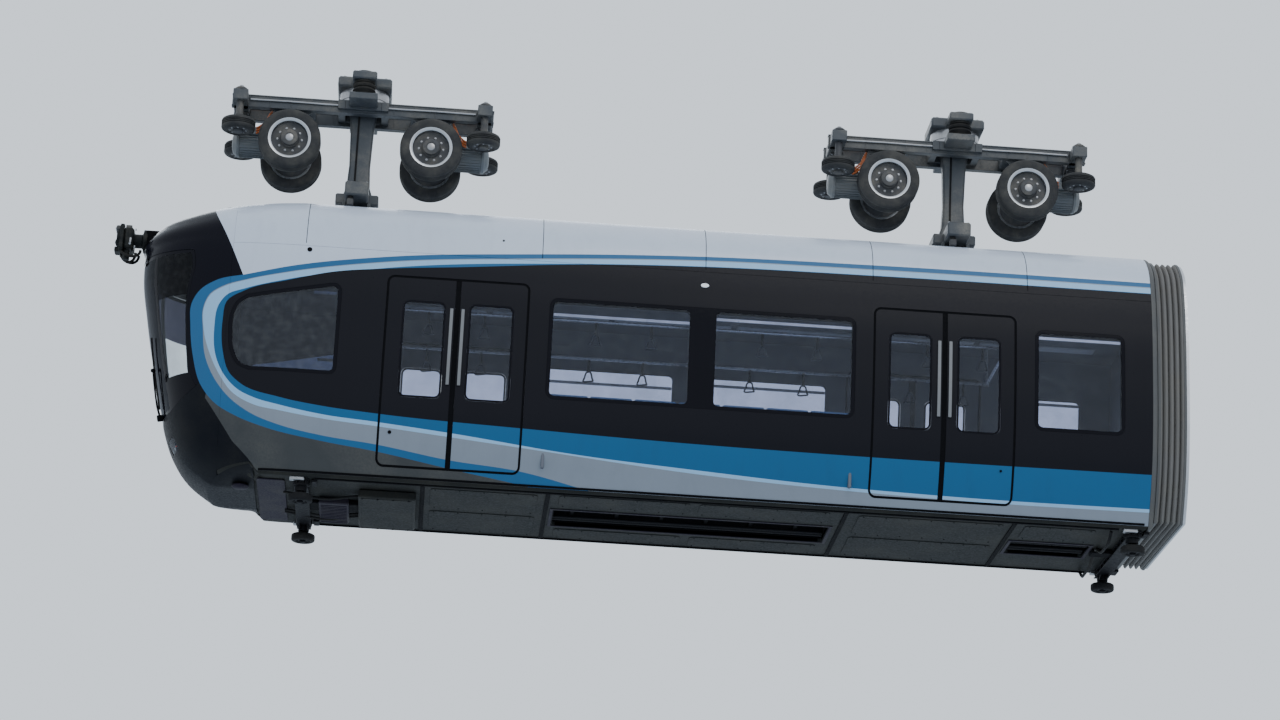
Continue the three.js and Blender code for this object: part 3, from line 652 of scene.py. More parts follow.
bellows_cloth = surface_material("bellows_cloth", (0.15, 0.143, 0.135), 0.85, tint=0.28, patch=4, grain=0.5,
                                 grain_scale=420, stretch=(1, 1, 0.4), streaks=0.25, dust=0.25)
lamp_lens = surface_material("lamp_lens", (0.80, 0.84, 0.88), 0.08, coat=0.6, tint=0.05, grain=0.02)
ceiling_lens = surface_material("ceiling_lens", (0.62, 0.64, 0.68), 0.45, tint=0.08, patch=3, grain=0.15,
                                dust=0.15)
lamp_light = surface_material("lamp_light", (0.86, 0.90, 0.95), 0.2, tint=0.04, grain=0.02, glow=0.5)
tail_red = surface_material("tail_lamp", (0.30, 0.012, 0.012), 0.12, coat=0.5, tint=0.2, grain=0.03)
seat_blue = surface_material("seat_plastic", (0.045, 0.15, 0.32), 0.4, tint=0.08, patch=3, grain=0.15,
                             grain_scale=500, dust=0.06)
seat_cloth = surface_material("seat_cloth", (0.035, 0.05, 0.085), 0.9, tint=0.25, patch=14, grain=0.6,
                              grain_scale=900)
desk_plastic = surface_material("desk_plastic", (0.05, 0.052, 0.056), 0.55, tint=0.12, patch=4, grain=0.35,
                                grain_scale=600)
floor_vinyl = surface_material("floor_vinyl", (0.10, 0.105, 0.11), 0.55, tint=0.2, patch=60, grain=0.1,
                               dust=0.2)
floor_paint = surface_material("studio_floor_paint", (0.60, 0.66, 0.72), 0.7, tint=0.03, patch=0.05,
                               grain=0.05)
cable_orange = surface_material("cable_orange", (0.42, 0.10, 0.02), 0.5, tint=0.15, patch=8, grain=0.2,
                                dust=0.2)


# Bodies gathered into one mesh

def box_faces():
    """Faces of a box with chamfered edges, three corner points at each of its eight corners."""
    number = {(*corner, axis): 3 * i + axis for i, corner in enumerate(product((-1, 1), repeat=3))
              for axis in range(3)}
    faces = []
    for axis in range(3):
        first, second = [other for other in range(3) if other != axis]
        for side in (-1, 1):
            ring = []
            for p, q in ((-1, -1), (1, -1), (1, 1), (-1, 1)):
                corner = [0, 0, 0]
                corner[axis], corner[first], corner[second] = side, p, q
                ring.append(number[(*corner, axis)])
            faces.append(ring)
    for axis in range(3):
        first, second = [other for other in range(3) if other != axis]
        for p, q in product((-1, 1), repeat=2):
            ring = []
            for along_edge, face in ((-1, first), (1, first), (1, second), (-1, second)):
                corner = [0, 0, 0]
                corner[axis], corner[first], corner[second] = along_edge, p, q
                ring.append(number[(*corner, face)])
            faces.append(ring)
    for corner in product((-1, 1), repeat=3):
        faces.append([number[(*corner, axis)] for axis in range(3)])
    return faces


BOX_FACES = box_faces()


def ring_faces(count, rings, closed=False):
    """Faces between rings of count points each, with flat ends unless the last ring meets the first."""
    faces = [] if closed else [tuple(range(count))[::-1], tuple(range((rings - 1) * count, rings * count))]
    for ring in range(rings if closed else rings - 1):
        here, there = ring * count, (ring + 1) % rings * count
        faces += [(here + i, here + j, there + j, there + i)
                  for i, j in zip(range(count), [*range(1, count), 0])]
    return faces


def ring_round(centre, across, other, radius, sides):
    turns = [i * math.tau / sides for i in range(sides)]
    return [centre + (across * math.cos(turn) + other * math.sin(turn)) * radius for turn in turns]


class Build:
    """Closed bodies gathered into one mesh, each with its own material."""

    def __init__(self):
        self.vertices, self.faces, self.indices, self.materials = [], [], [], []

    def add(self, vertices, faces, material):
        if material not in self.materials:
            self.materials.append(material)
        first = len(self.vertices)
        self.vertices += [tuple(float(c) for c in v) for v in vertices]
        self.faces += [tuple(first + int(i) for i in face) for face in faces]
        self.indices += [self.materials.index(material)] * len(faces)

    def oriented(self, vertices, faces, material):
        """A convex body, with its faces turned outward."""
        vertices = np.asarray(vertices, float)
        centre = vertices.mean(0)
        turned = []
        for face in faces:
            corner = vertices[list(face)]
            facing = np.cross(corner[1] - corner[0], corner[2] - corner[0])
            turned.append(face if facing @ (corner.mean(0) - centre) > 0 else face[::-1])
        self.add(vertices, turned, material)

    def box(self, low, high, material, chamfer=0.004, turn=None, centre=None):
        low, high = np.minimum(low, high), np.maximum(low, high)
        middle, half = (low + high) / 2, (high - low) / 2
        chamfer = min(chamfer, *(half * 0.45))
        vertices = [middle + np.array(corner) * (half - chamfer * (np.arange(3) != axis))
                    for corner in product((-1, 1), repeat=3) for axis in range(3)]
        if turn is not None:
            pivot = middle if centre is None else np.array(centre)
            vertices = [np.array(turn) @ (v - pivot) + pivot for v in vertices]
        self.oriented(vertices, BOX_FACES, material)

    def block(self, middle, half, heights, material, chamfer=0.004):
        """Box round a middle in plan, from its half length and half width, between two heights."""
        (x, y), (half_x, half_y), (low, high) = middle, half, heights
        self.box((x - half_x, y - half_y, low), (x + half_x, y + half_y, high), material, chamfer)

    def turned(self, profile, centre, axis, material, sides=32):
        """A body of revolution: profile is (radius, place along the axis), closed or from axis to axis."""
        axis = Vector(axis).normalized()
        across = axis.orthogonal().normalized()
        other = axis.cross(across)
        closed = profile[0][0] > 0
        vertices, rings = [], []
        for radius, place in profile:
            if radius <= 0:
                rings.append([len(vertices)] * sides)
                vertices.append(Vector(centre) + axis * place)
            else:
                rings.append(list(range(len(vertices), len(vertices) + sides)))
                vertices += ring_round(Vector(centre) + axis * place, across, other, radius, sides)
        area = sum(p[0] * q[1] - q[0] * p[1] for p, q in zip(profile, profile[1:] + profile[:1]))
        faces = []
        for low, high in zip(rings, rings[1:] + rings[:1] if closed else rings[1:]):
            for i in range(sides):
                j = (i + 1) % sides
                face = [low[i], low[j], high[j], high[i]]
                face = [v for k, v in enumerate(face) if v != face[k - 1]]
                if len(face) > 2:
                    faces.append(face if area > 0 else face[::-1])
        self.add(vertices, faces, material)

    def rod(self, start, end, radius, material, sides=24):
        way = Vector(end) - Vector(start)
        length = way.length
        chamfer = min(0.003, radius * 0.4, length * 0.3)
        self.turned([(0, 0), (radius - chamfer, 0), (radius, chamfer), (radius, length - chamfer),
                     (radius - chamfer, length), (0, length)], start, way, material, sides)

    def tube(self, points, radius, material, sides=10):
        """A solid round bar or hose along a line."""
        points = [Vector(p) for p in points]
        ways = [(q - p).normalized() for p, q in zip(points, points[1:])]
        ways = [ways[0], *((p + q).normalized() for p, q in zip(ways, ways[1:])), ways[-1]]
        across = ways[0].orthogonal().normalized()
        vertices = []
        for point, way in zip(points, ways):
            across = (across - way * across.dot(way)).normalized()
            vertices += ring_round(point, across, way.cross(across), radius, sides)
        self.add(vertices, ring_faces(sides, len(points)), material)

    def prism(self, outline, axis, low, high, material, chamfer=0.003):
        """An outline pushed along an axis; it is given in the other two axes, in their order."""
        outline = np.asarray(outline, float)
        area = (outline[:, 0] * np.roll(outline[:, 1], -1) - outline[:, 1] * np.roll(outline[:, 0], -1)).sum()
        if area < 0:
            outline = outline[::-1]
        chamfer = min(chamfer, (high - low) * 0.3)
        inner = grown(outline, -chamfer)
        outer = grown(outline, 0)
        levels = [(inner, low), (outer, low + chamfer), (outer, high - chamfer), (inner, high)]
        vertices = [np.insert(point, axis, level) for ring, level in levels for point in ring]
        faces = ring_faces(len(inner), len(levels))
        if axis == 1:
            faces = [face[::-1] for face in faces]
        self.add(vertices, faces, material)

    def loft(self, rings, material, closed=False):
        """A body between rings of points; closed where the last ring meets the first."""
        self.add([point for ring in rings for point in ring], ring_faces(len(rings[0]), len(rings), closed),
                 material)

    def bolt(self, place, axis, size, material):
        """Hexagon head on a washer; place is where it sits."""
        axis = Vector(axis).normalized()
        place = Vector(place)
        self.turned([(0, 0), (size * 1.15, 0), (size * 1.15, size * 0.2), (0, size * 0.2)], place, axis,
                    material, 14)
        self.turned([(0, size * 0.2), (size * 0.95, size * 0.2), (size * 0.95, size * 0.75),
                     (size * 0.75, size * 0.9), (0, size * 0.9)], place, axis, material, 6)

    def bolt_ring(self, count, reach, centre, axis, size, material, start=0.0):
        """Bolts evenly round an axis along X, Y or Z; start turns the first, and reach may differ across."""
        across = [i for i in range(3) if not axis[i]]
        for i in range(count):
            turn = start + i / count * math.tau
            place = np.array(centre, float)
            place[across] += np.multiply(reach, (math.cos(turn), math.sin(turn)))
            self.bolt(place, axis, size, material)

    def made(self, name, slot, body="root", replaces=(), sharp=38):
        piece = new_object(name, self.vertices, self.faces, self.materials, self.indices, None, sharp)
        shape = bmesh.new()
        shape.from_mesh(piece.data)
        bmesh.ops.recalc_face_normals(shape, faces=shape.faces)
        shape.to_mesh(piece.data)
        shape.free()
        return placed(piece, body, replaces)


# Livery: lines from the rear, forward below the windows, round the cab window and back above it,
# as seen from the camera

BAND_EDGE = [(-0.5, 0.575), (3.48, 0.575), (4.73, 0.59), (6.53, 0.639), (8.01, 0.698), (8.56, 0.742),
             (9.0, 0.807), (9.40, 0.922), (9.53, 1.035), (9.606, 1.24), (9.637, 1.593), (9.612, 1.79),
             (9.425, 1.925), (9.0, 2.062), (8.56, 2.18), (8.01, 2.253), (7.27, 2.32), (5.98, 2.44),
             (4.73, 2.50), (3.0, 2.525), (-0.5, 2.53)]
BLUE_EDGE = [(-0.5, 0.21), (2.2, 0.21), (3.48, 0.245), (4.73, 0.315), (5.98, 0.40), (7.27, 0.543),
             (8.01, 0.61), (8.56, 0.654), (9.0, 0.727), (9.26, 0.786), (9.43, 0.862), (9.578, 1.006),
             (9.67, 1.18), (9.715, 1.505), (9.685, 1.759), (9.615, 1.86), (9.43, 1.942), (9.0, 2.072),
             (8.01, 2.260), (5.98, 2.446), (4.73, 2.505), (3.0, 2.53), (-0.5, 2.535)]
# Edge of the stripe drawn pale blue as a painted sky reflection and highlight.
REFLECTION_STRIPE_EDGE = [(-0.5, 0.175), (2.2, 0.175), (4.73, 0.275), (6.53, 0.434), (7.27, 0.50), (8.01, 0.566),
             (8.56, 0.61), (9.0, 0.669), (9.26, 0.713), (9.485, 0.83), (9.625, 1.006), (9.73, 1.20),
             (9.82, 1.475), (9.835, 1.71), (9.78, 1.85), (9.65, 1.946), (9.437, 2.028), (9.0, 2.145),
             (8.01, 2.320), (6.53, 2.457), (4.73, 2.562), (3.0, 2.588), (-0.5, 2.592)]
# Edge of the silver stripe, which is drawn darker as painted shade.
SILVER_EDGE = [(-0.5, -0.40), (4.6, -0.20), (5.7, 0.0), (6.53, 0.185), (7.27, 0.258), (8.01, 0.375),
               (8.56, 0.434), (9.0, 0.52), (9.26, 0.61), (9.525, 0.786), (9.70, 1.006), (9.78, 1.18),
               (9.828, 1.475), (9.842, 1.71), (9.787, 1.856), (9.657, 1.953), (9.437, 2.035), (9.0, 2.152),
               (8.01, 2.328), (6.53, 2.466), (4.73, 2.572), (3.0, 2.597), (-0.5, 2.602)]
RING_EDGE = [(-0.5, -0.60), (4.6, -0.45), (5.65, -0.16), (6.3, 0.0), (7.27, 0.17), (8.01, 0.302),
             (8.56, 0.375), (9.14, 0.484), (9.437, 0.585), (9.652, 0.705), (9.805, 0.885), (9.905, 1.18),
             (9.957, 1.505), (9.965, 1.74), (9.893, 1.888), (9.73, 2.01), (9.437, 2.092), (9.0, 2.211),
             (8.01, 2.381), (6.53, 2.513), (4.73, 2.612), (3.0, 2.642), (-0.5, 2.647)]
LIVERY_LINES = [projected(curved(line)) for line in (BAND_EDGE, BLUE_EDGE, REFLECTION_STRIPE_EDGE, SILVER_EDGE, RING_EDGE)]

# Where the black mask of the nose begins, above the ring and below it, and the windscreen's lower edge
MASK_REAR = np.array([(9.42, 1.93), (9.481, 2.07), (9.644, 2.44), (9.812, 2.883), (9.92, 3.22)])
CHIN_REAR = np.array([(9.20, -0.05), (9.76, 0.745)])
SCREEN_FOOT = np.array([(9.76, 0.985), (9.855, 0.885), (10.13, 0.69), (10.23, 0.665)])

BODY = [black, blue, light_stripe_sky_reflection, silver_in_painted_shade, steel_blue, white_and_sky_reflection, grey, mask_black, chin_grey, seam_black, lining]
WHITE, GREY, MASK, CHIN, SEAM, LINING = range(5, 11)


def livery(points):
    """Paint of the body at points of its surface, with its painted sky reflection and painted shade, as a
    number in BODY.
    """
    place = points[:, [0, 2]]
    a, h = place.T
    index = np.where(h > 1.3, WHITE, GREY)
    ahead = np.where(h > 1.3, a > np.interp(h, MASK_REAR[:, 1], MASK_REAR[:, 0]),
                     a > np.interp(h, CHIN_REAR[:, 1], CHIN_REAR[:, 0]))
    index = np.where(ahead, np.where(h > np.interp(a, *SCREEN_FOOT.T), MASK, CHIN), index)
    for number in (4, 3, 2, 1, 0):
        index = np.where(within(place, LIVERY_LINES[number]), number, index)
    return index


def livery_between(low, high):
    """The livery's lines between two places along the car, in the side view."""
    lines = [line[(line[:, 0] > low) & (line[:, 0] < high)] for line in LIVERY_LINES]
    return [line for line in lines if len(line) > 1]


def side_view_line(points, step=0.05):
    return unroll(dense(points, step))


def doorway(door, growth=0.0):
    centre, half, _ = DOORS[door]
    low, high = DOOR_HEIGHTS
    return rounded((centre - half - growth, centre + half + growth), (low - growth, high + growth),
                   max(DOOR_CORNER + growth, 0.01))


def cab_window(growth=0.0):
    """The cab's side window: straight at the rear, bowed at the front."""
    front = curved([(9.33, 1.06), (9.43, 1.105), (9.50, 1.22), (9.535, 1.42), (9.53, 1.62), (9.48, 1.74),
                    (9.40, 1.80)], 0.04)
    corner = curved([(8.58, 1.968), (8.52, 1.972), (8.495, 1.945), (8.49, 1.90)], 0.02)
    lower = curved([(8.49, 1.12), (8.495, 1.08), (8.515, 1.062), (8.55, 1.06)], 0.02)
    return grown(np.concatenate([front, corner, lower]), growth)


def windows():
    """Flush side glass: name, panes, outline of the glass and of each pane, in the side view."""
    for name, panes in (("saloon", SALOON_PANES), ("rear", REAR_PANES)):
        border = rounded((panes[0][0] - GLASS_BORDER, panes[-1][1] + GLASS_BORDER),
                         (PANE_HEIGHTS[0] - GLASS_BORDER, PANE_HEIGHTS[1] + GLASS_BORDER),
                         PANE_CORNER + GLASS_BORDER)
        yield name, border, [rounded(pane, PANE_HEIGHTS, PANE_CORNER) for pane in panes]
    yield "cab", cab_window(GLASS_BORDER), [cab_window()]


def side_outline(low, high):
    """Outline of a side panel from the end wall to the nose's split, between two heights."""
    corners = [(END_WALL + GAP, low), (NOSE_SPLIT - GAP / 2, low), (NOSE_SPLIT - GAP / 2, high),
               (END_WALL + GAP, high)]
    return laid_flat(corners, 0.06)


def side_walls():
    """Outer skins in the livery, and behind them the frames that hold the glass and the lining."""
    lines = [unroll(line) for line in livery_between(-0.4, 9.9)]
    lines += [side_view_line(MASK_REAR), side_view_line(CHIN_REAR), side_view_line(SCREEN_FOOT)]
    doorways = [laid_flat(doorway(door), 0.06) for door in DOORS]
    glasses = [laid_flat(border, 0.06) for _, border, _ in windows()]
    panes = [laid_flat(pane, 0.08) for _, _, outlines in windows() for pane in outlines]
    outline = side_outline(PAN_TOP, ROOF_SPLIT - GAP)
    skin = Skin(outline, [*doorways, *glasses], lines)
    on_both_sides(skin, "body_side", BODY, livery(skin.middle), LINING, "side_wall")
    backing = Skin(outline, [*doorways, *panes], spacing=0.12, depths=(0.0145, 0.065))
    on_both_sides(backing, "window_frame", [seam_black, lining], inside=1)
    # Painted shadow: a black strip along the foot of the side stands in for the shade in the gap above the
    # pan.
    edge = Skin(side_rectangle((0.1, CHIN_START - 0.05), (PAN_TOP + 0.004, PAN_TOP + 0.026)), spacing=0.06,
                depths=(-0.006, -0.0008))
    on_both_sides(edge, "painted_shadow_strip", [seam_black])


def side_glass():
    for name, border, panes in windows():
        glass = Skin(laid_flat(grown(border, -0.002), 0.06),
                     lines=[looped(laid_flat(pane, 0.06)) for pane in panes], depths=(0.002, 0.012))
        clear = sum(within(glass.middle[:, [0, 2]], pane).astype(int) for pane in panes)
        tinted = cab_glass if name == "cab" else clear_glass
        on_both_sides(glass, f"{name}_window", [frit, tinted], clear, replaces=f"{name}_glass")


def door_leaves():
    lines = [unroll(line) for line in livery_between(1.0, 8.5)]
    for door, (centre, _, leaf_windows) in DOORS.items():
        low, high = DOOR_HEIGHTS[0] + SEAL_WIDTH, DOOR_HEIGHTS[1] - SEAL_WIDTH
        whole = doorway(door, -SEAL_WIDTH)
        for fore in (True, False):
            keep = whole[:, 0] > centre if fore else whole[:, 0] < centre
            edge = whole[keep]
            meeting = centre + (MEETING_HALF if fore else -MEETING_HALF)
            closing = [(meeting, high), (meeting, low)] if fore else [(meeting, low), (meeting, high)]
            order = np.roll(edge, -int(np.argmax(np.linalg.norm(edge - np.roll(edge, 1, 0), axis=1))), 0)
            outline = np.concatenate([order, closing])
            window = rounded(leaf_windows[1 if fore else 0], LEAF_WINDOW, PANE_CORNER)
            leaf = Skin(laid_flat(outline, 0.06), [laid_flat(grown(window, 0.022))], lines, 0.06,
                        (0.003, 0.040))
            name = f"{door}_door_{'fore' if fore else 'aft'}_leaf"
            on_both_sides(leaf, f"{name}_skin", BODY, livery(leaf.middle), LINING, name)
            pane = Skin(laid_flat(grown(window, 0.020)), lines=[looped(laid_flat(window))],
                        depths=(0.004, 0.011))
            clear = within(pane.middle[:, [0, 2]], window).astype(int)
            on_both_sides(pane, f"{name}_window", [frit, clear_glass], clear)


def door_trim():
    """Rubber round and between the leaves, and the slim bars beside the meeting edges."""
    for door, (centre, _, _) in DOORS.items():
        seal = Skin(laid_flat(doorway(door, -0.0015)), [laid_flat(doorway(door, 0.0005 - SEAL_WIDTH))],
                    spacing=0.05, depths=(0.005, 0.032))
        meeting = Skin(side_rectangle((centre + 0.0005 - MEETING_HALF, centre - 0.0005 + MEETING_HALF),
                                      (DOOR_HEIGHTS[0] + SEAL_WIDTH, DOOR_HEIGHTS[1] - SEAL_WIDTH)),
                       spacing=0.05, depths=(0.006, 0.036))
        on_both_sides(seal, f"{door}_door_seal", [seam_black])
        on_both_sides(meeting, f"{door}_door_meeting_rubber", [seam_black])
        for number, middle in enumerate((centre - BAR_OFFSET, centre + BAR_OFFSET)):
            strip = Skin(side_rectangle((middle - BAR_HALF, middle + BAR_HALF), (0.99, 1.81)), spacing=0.03,
                         depths=(-0.016, -0.001))
            on_both_sides(strip, f"{door}_door_bar_{number}", [bar_grey])


def side_rectangle(a_range, h_range):
    return laid_flat(rounded(a_range, h_range, 0.004, 3))


ROOF_SEAMS = (1.36, 2.98, 4.725, 6.42, 8.856)


def roof_surface(chart):
    """Points of the roof: p runs up the left side, over the crown and down the right side."""
    chart = np.array(chart, float)
    right = chart[:, 1] > SECTION_LENGTH
    chart[right, 1] = 2 * SECTION_LENGTH - chart[right, 1]
    points = surface(chart)
    points[right, 1] *= -1
    return points


def both_sides(line):
    """A line on the roof's left side and its mirror image, as two lines."""
    line = np.asarray(line, float)
    return [line, np.stack([line[:, 0], 2 * SECTION_LENGTH - line[:, 1]], 1)[::-1]]


def up_to_crown(a, low):
    """Chart line up the left side at a place along the car, as far as the crown."""
    line = side_view_line([(a, low), (a, CROWN)])
    line[-1, 1] = SECTION_LENGTH
    return line


def roof():
    """White fairing over the ceiling, with its panel seams."""
    low = ROOF_SPLIT + GAP
    left_front, right_front = both_sides(up_to_crown(NOSE_SPLIT - GAP / 2, low))
    left_rear, right_rear = both_sides(up_to_crown(END_WALL + GAP, low)[::-1])
    outline = np.concatenate([left_front, right_front[1:], right_rear, left_rear[1:]])
    lines = [part for line in livery_between(-0.4, 9.9) for part in both_sides(unroll(line))]
    lines += both_sides(side_view_line(MASK_REAR))
    seams = []
    for a in ROOF_SEAMS:
        left, right = both_sides(up_to_crown(a, low + 0.03))
        seams.append(np.concatenate([left, right[1:]]))
    skin = Skin(outline, (), lines, 0.075, (0, 0.03), roof_surface, seams)
    paint = np.where(skin.in_groove, SEAM, livery(skin.middle))
    placed(skin.made("roof_fairing", BODY, paint, 1, SEAM), replaces=["roof_shell"])


# Nose

SCREEN_SIDE = [(9.875, 0.895), (9.93, 1.0), (9.965, 1.2), (10.0, 1.5), (10.015, 1.75), (10.0, 2.0),
               (9.975, 2.2), (10.0, 2.34)]
SCREEN_TOP_PLACE, SCREEN_TOP = 10.03, (2.36, 2.42)
SCREEN_PILLAR = (0.60, 0.64)
SCREEN_BAND, SCREEN_SILL = 1.87, 1.03


def leftwards(outline):
    outline = np.asarray(outline, float)
    turn = (outline[:, 0] * np.roll(outline[:, 1], -1) - outline[:, 1] * np.roll(outline[:, 0], -1)).sum()
    return outline if turn > 0 else outline[::-1]


def across_front(a, h_side, h_centre, steps=18):
    """Places round the front from a side-view place to the centreline."""
    start = unroll([(a, h_side)])[0]
    end = np.array([NOSE_START + NOSE_ARC, section_place(h_centre)])
    return start + (end - start) * np.linspace(0, 1, steps)[:, None]


def on_nose(chart, sign=1):
    """Places on the flat nose of (u, p) places of the left side, or of their mirror image."""
    return nose_chart(surface(chart) * (1, sign, 1))


def mirrored_loop(half):
    """Outline on the flat nose from its left half, given from one end on the centreline to the other."""
    left = on_nose(half)
    right = on_nose(half, -1)[::-1]
    return leftwards(np.concatenate([left, right[1:-1]]))


def front_place(y, h):
    """Place on the flat nose of a point seen from the front."""
    y, h = np.asarray(y, float), np.asarray(h, float)
    share = np.clip(np.abs(y) / half_along_section(section_place(h)), 0, 1)
    a = NOSE_START + (nose_tip(h) - NOSE_START) * (1 - share ** NOSE_ROUNDNESS) ** (1 / NOSE_ROUNDNESS)
    return nose_chart(np.stack([a, y, h], 1))


def front_point(y, h):
    """Place on the nose of a point seen from the front, and the way out of the body there."""
    place = nose_surface(front_place([y], [h]))[0]
    return place, outward(place[None])[0]


def screen_foot():
    """The windscreen's lower edge round the front to the centreline."""
    return across_front(SCREEN_FOOT[2][0], SCREEN_FOOT[2][1], SCREEN_FOOT[3][1])


def screen_outline():
    foot = screen_foot()[::-1]
    side = unroll(np.concatenate([dense(SCREEN_FOOT[1:3][::-1], 0.05)[1:], curved(SCREEN_SIDE, 0.05)]))
    top = across_front(SCREEN_TOP_PLACE, *SCREEN_TOP)
    return mirrored_loop(np.concatenate([foot, side, top]))


LAMP_Y, LAMP_HEIGHTS = (0.20, 0.50), (0.33, 0.46)
MOUTH_HALF, COUPLER_HEIGHT = 0.115, 2.72
MOUTH_HEIGHTS = [straight_height(10.42, COUPLER_HEIGHT + side * MOUTH_HALF) for side in (-1, 1)]


def front_rectangle(y_range, h_range, radius, growth=0.0):
    outline = rounded((y_range[0] - growth, y_range[1] + growth), (h_range[0] - growth, h_range[1] + growth),
                      radius + growth, 4)
    outline = dense(outline, 0.05, True)
    return leftwards(front_place(outline[:, 0], outline[:, 1]))


def lamp_outline(sign, growth=0.0):
    low, high = sorted(y * sign for y in LAMP_Y)
    return front_rectangle((low, high), LAMP_HEIGHTS, 0.03, growth)


def nose():
    """Shell of the nose in the livery, and the collar round its coupler opening."""
    rim = up_to_crown(NOSE_SPLIT + GAP / 2, 0)
    lower = across_front(NOSE_SPLIT + GAP / 2, 0, 0, 40)
    left, right = on_nose(rim), on_nose(rim, -1)
    outline = leftwards(np.concatenate([left, right[::-1][1:], on_nose(lower, -1)[1:],
                                        on_nose(lower)[::-1][1:-1]]))
    lines = []
    for sign in SIDES.values():
        lines += [on_nose(unroll(line), sign) for line in livery_between(9.3, 10.6)]
        foot = np.concatenate([side_view_line(SCREEN_FOOT[:3], 0.04), screen_foot()[1:]])
        lines += [on_nose(line, sign)
                  for line in (side_view_line(MASK_REAR, 0.04), side_view_line(CHIN_REAR, 0.04), foot)]
    mouth = front_rectangle((-MOUTH_HALF, MOUTH_HALF), MOUTH_HEIGHTS, 0.03, 0.004)
    holes = [screen_outline(), mouth, lamp_outline(1, 0.002), lamp_outline(-1, 0.002)]
    skin = Skin(outline, holes, lines, 0.05, (0, 0.04), nose_surface)
    placed(skin.made("nose_mask", BODY, livery(skin.middle), 1, SEAM), replaces=["nose_shell"])
    lip = Skin(front_rectangle((-MOUTH_HALF, MOUTH_HALF), MOUTH_HEIGHTS, 0.03, 0.03), [mouth], spacing=0.03,
               depths=(-0.012, -0.0005), shape=nose_surface)
    placed(lip.made("coupler_collar", [rubber], [0] * len(lip.middle)))


def windscreen():
    """Tinted middle pane and band along the top, and clear quarter panes behind dark pillars."""
    outline = grown(screen_outline(), -0.004)
    clear_line = grown(outline, -0.03)
    lines = [front_place(np.full(60, sign * y), np.linspace(0.6, 2.4, 60))
             for sign, y in product(SIDES.values(), SCREEN_PILLAR)]
    lines += [front_place(sign * np.linspace(SCREEN_PILLAR[1], 1.0, 20), np.full(20, h))
              for sign, h in product(SIDES.values(), (SCREEN_BAND, SCREEN_SILL))]
    lines = [line[within(line, grown(clear_line, -0.002))] for line in lines]
    glass = Skin(outline, lines=[looped(clear_line), *lines], spacing=0.05, depths=(0.003, 0.013),
                 shape=nose_surface)
    across, height = np.abs(glass.middle[:, 1]), glass.middle[:, 2]
    kind = np.where((across > SCREEN_PILLAR[1]) & (height < SCREEN_BAND), 2, 1)
    kind[(across > SCREEN_PILLAR[0]) & ((across < SCREEN_PILLAR[1]) | (height < SCREEN_SILL))] = 0
    kind[~within(nose_chart(glass.middle), clear_line)] = 0
    piece = glass.made("windscreen_glass", [frit, screen_glass, quarter_glass], kind, 1)
    placed(piece, replaces=["windscreen"])


def headlamps():
    """Two round lights and two upright red lamps behind each flush lens."""
    for side, sign in SIDES.items():
        lens = Skin(lamp_outline(sign), spacing=0.03, depths=(0.003, 0.008), shape=nose_surface)
        placed(lens.made(f"{side}_headlamp_lens", [lamp_glass], [0] * len(lens.middle)),
               replaces=[f"{side}_headlamp"])
        build = Build()
        middle = sum(LAMP_HEIGHTS) / 2
        for y in (0.27, 0.375):
            place, way = front_point(y * sign, middle)
            way = way * 0.35 + np.array([0.65, 0, 0])
            centre = in_frame(place - way * 0.055)
            build.turned([(0, 0), (0.046, 0), (0.050, 0.006), (0.050, 0.034), (0.045, 0.034), (0.032, 0.010),
                          (0, 0.004)], centre, way, bright_steel, 28)
            build.turned([(0, 0.008), (0.026, 0.010), (0.034, 0.020), (0.030, 0.030), (0.016, 0.036),
                          (0, 0.038)], centre, way, lamp_light, 24)
        for y in (0.445, 0.475):
            place, way = front_point(y * sign, middle)
            centre = in_frame(place - way * 0.03)
            build.rod(centre - (0, 0, 0.045), centre + (0, 0, 0.045), 0.012, tail_red, 14)
        build.made(f"{side}_headlamp_inside", "headlamp_lens")
        back = Skin(lamp_outline(sign, 0.001), spacing=0.04, depths=(0.075, 0.08), shape=nose_surface)
        placed(back.made(f"{side}_headlamp_pocket", [seam_black], [0] * len(back.middle)))


def two_faced(outline, holes, lines, spacing):
    """Places of a flat mesh inside an outline, and the faces of a body between two layers of it."""
    flat, triangles = triangulated(outline, holes, lines, spacing)
    used, number = np.unique(triangles, return_inverse=True)
    triangles, count = number.reshape(-1, 3), len(used)
    edges = dict.fromkeys(edge for triangle in triangles for edge in zip(triangle, np.roll(triangle, -1)))
    rims = [(start, end, end + count, start + count) for start, end in edges if (end, start) not in edges]
    return flat[used], [*triangles, *(triangles[:, ::-1] + count), *rims]


def plan_sheet(outline, holes, lines, underside, top, material, spacing):
    """Sheet with a level top, its underside at a height for each place in plan."""
    flat, faces = two_faced(outline, holes, lines, spacing)
    layers = [np.column_stack([flat, level]) for level in (underside(flat), np.full(len(flat), top))]
    build = Build()
    build.add(in_frame(bent(np.concatenate(layers))), faces, material)
    return build


def lower_outline(h, rear, front, inset=0.0):
    """Plan outline of the body at a height, from the rear to a place on the nose."""
    reach = unroll([(front, h)])[0]
    left = surface(dense([(rear, reach[1]), (NOSE_START, reach[1]), reach], 0.08))[:, :2]
    outline = leftwards(np.concatenate([left, (left * (1, -1))[::-1]]))
    return grown(outline, -inset) if inset else outline


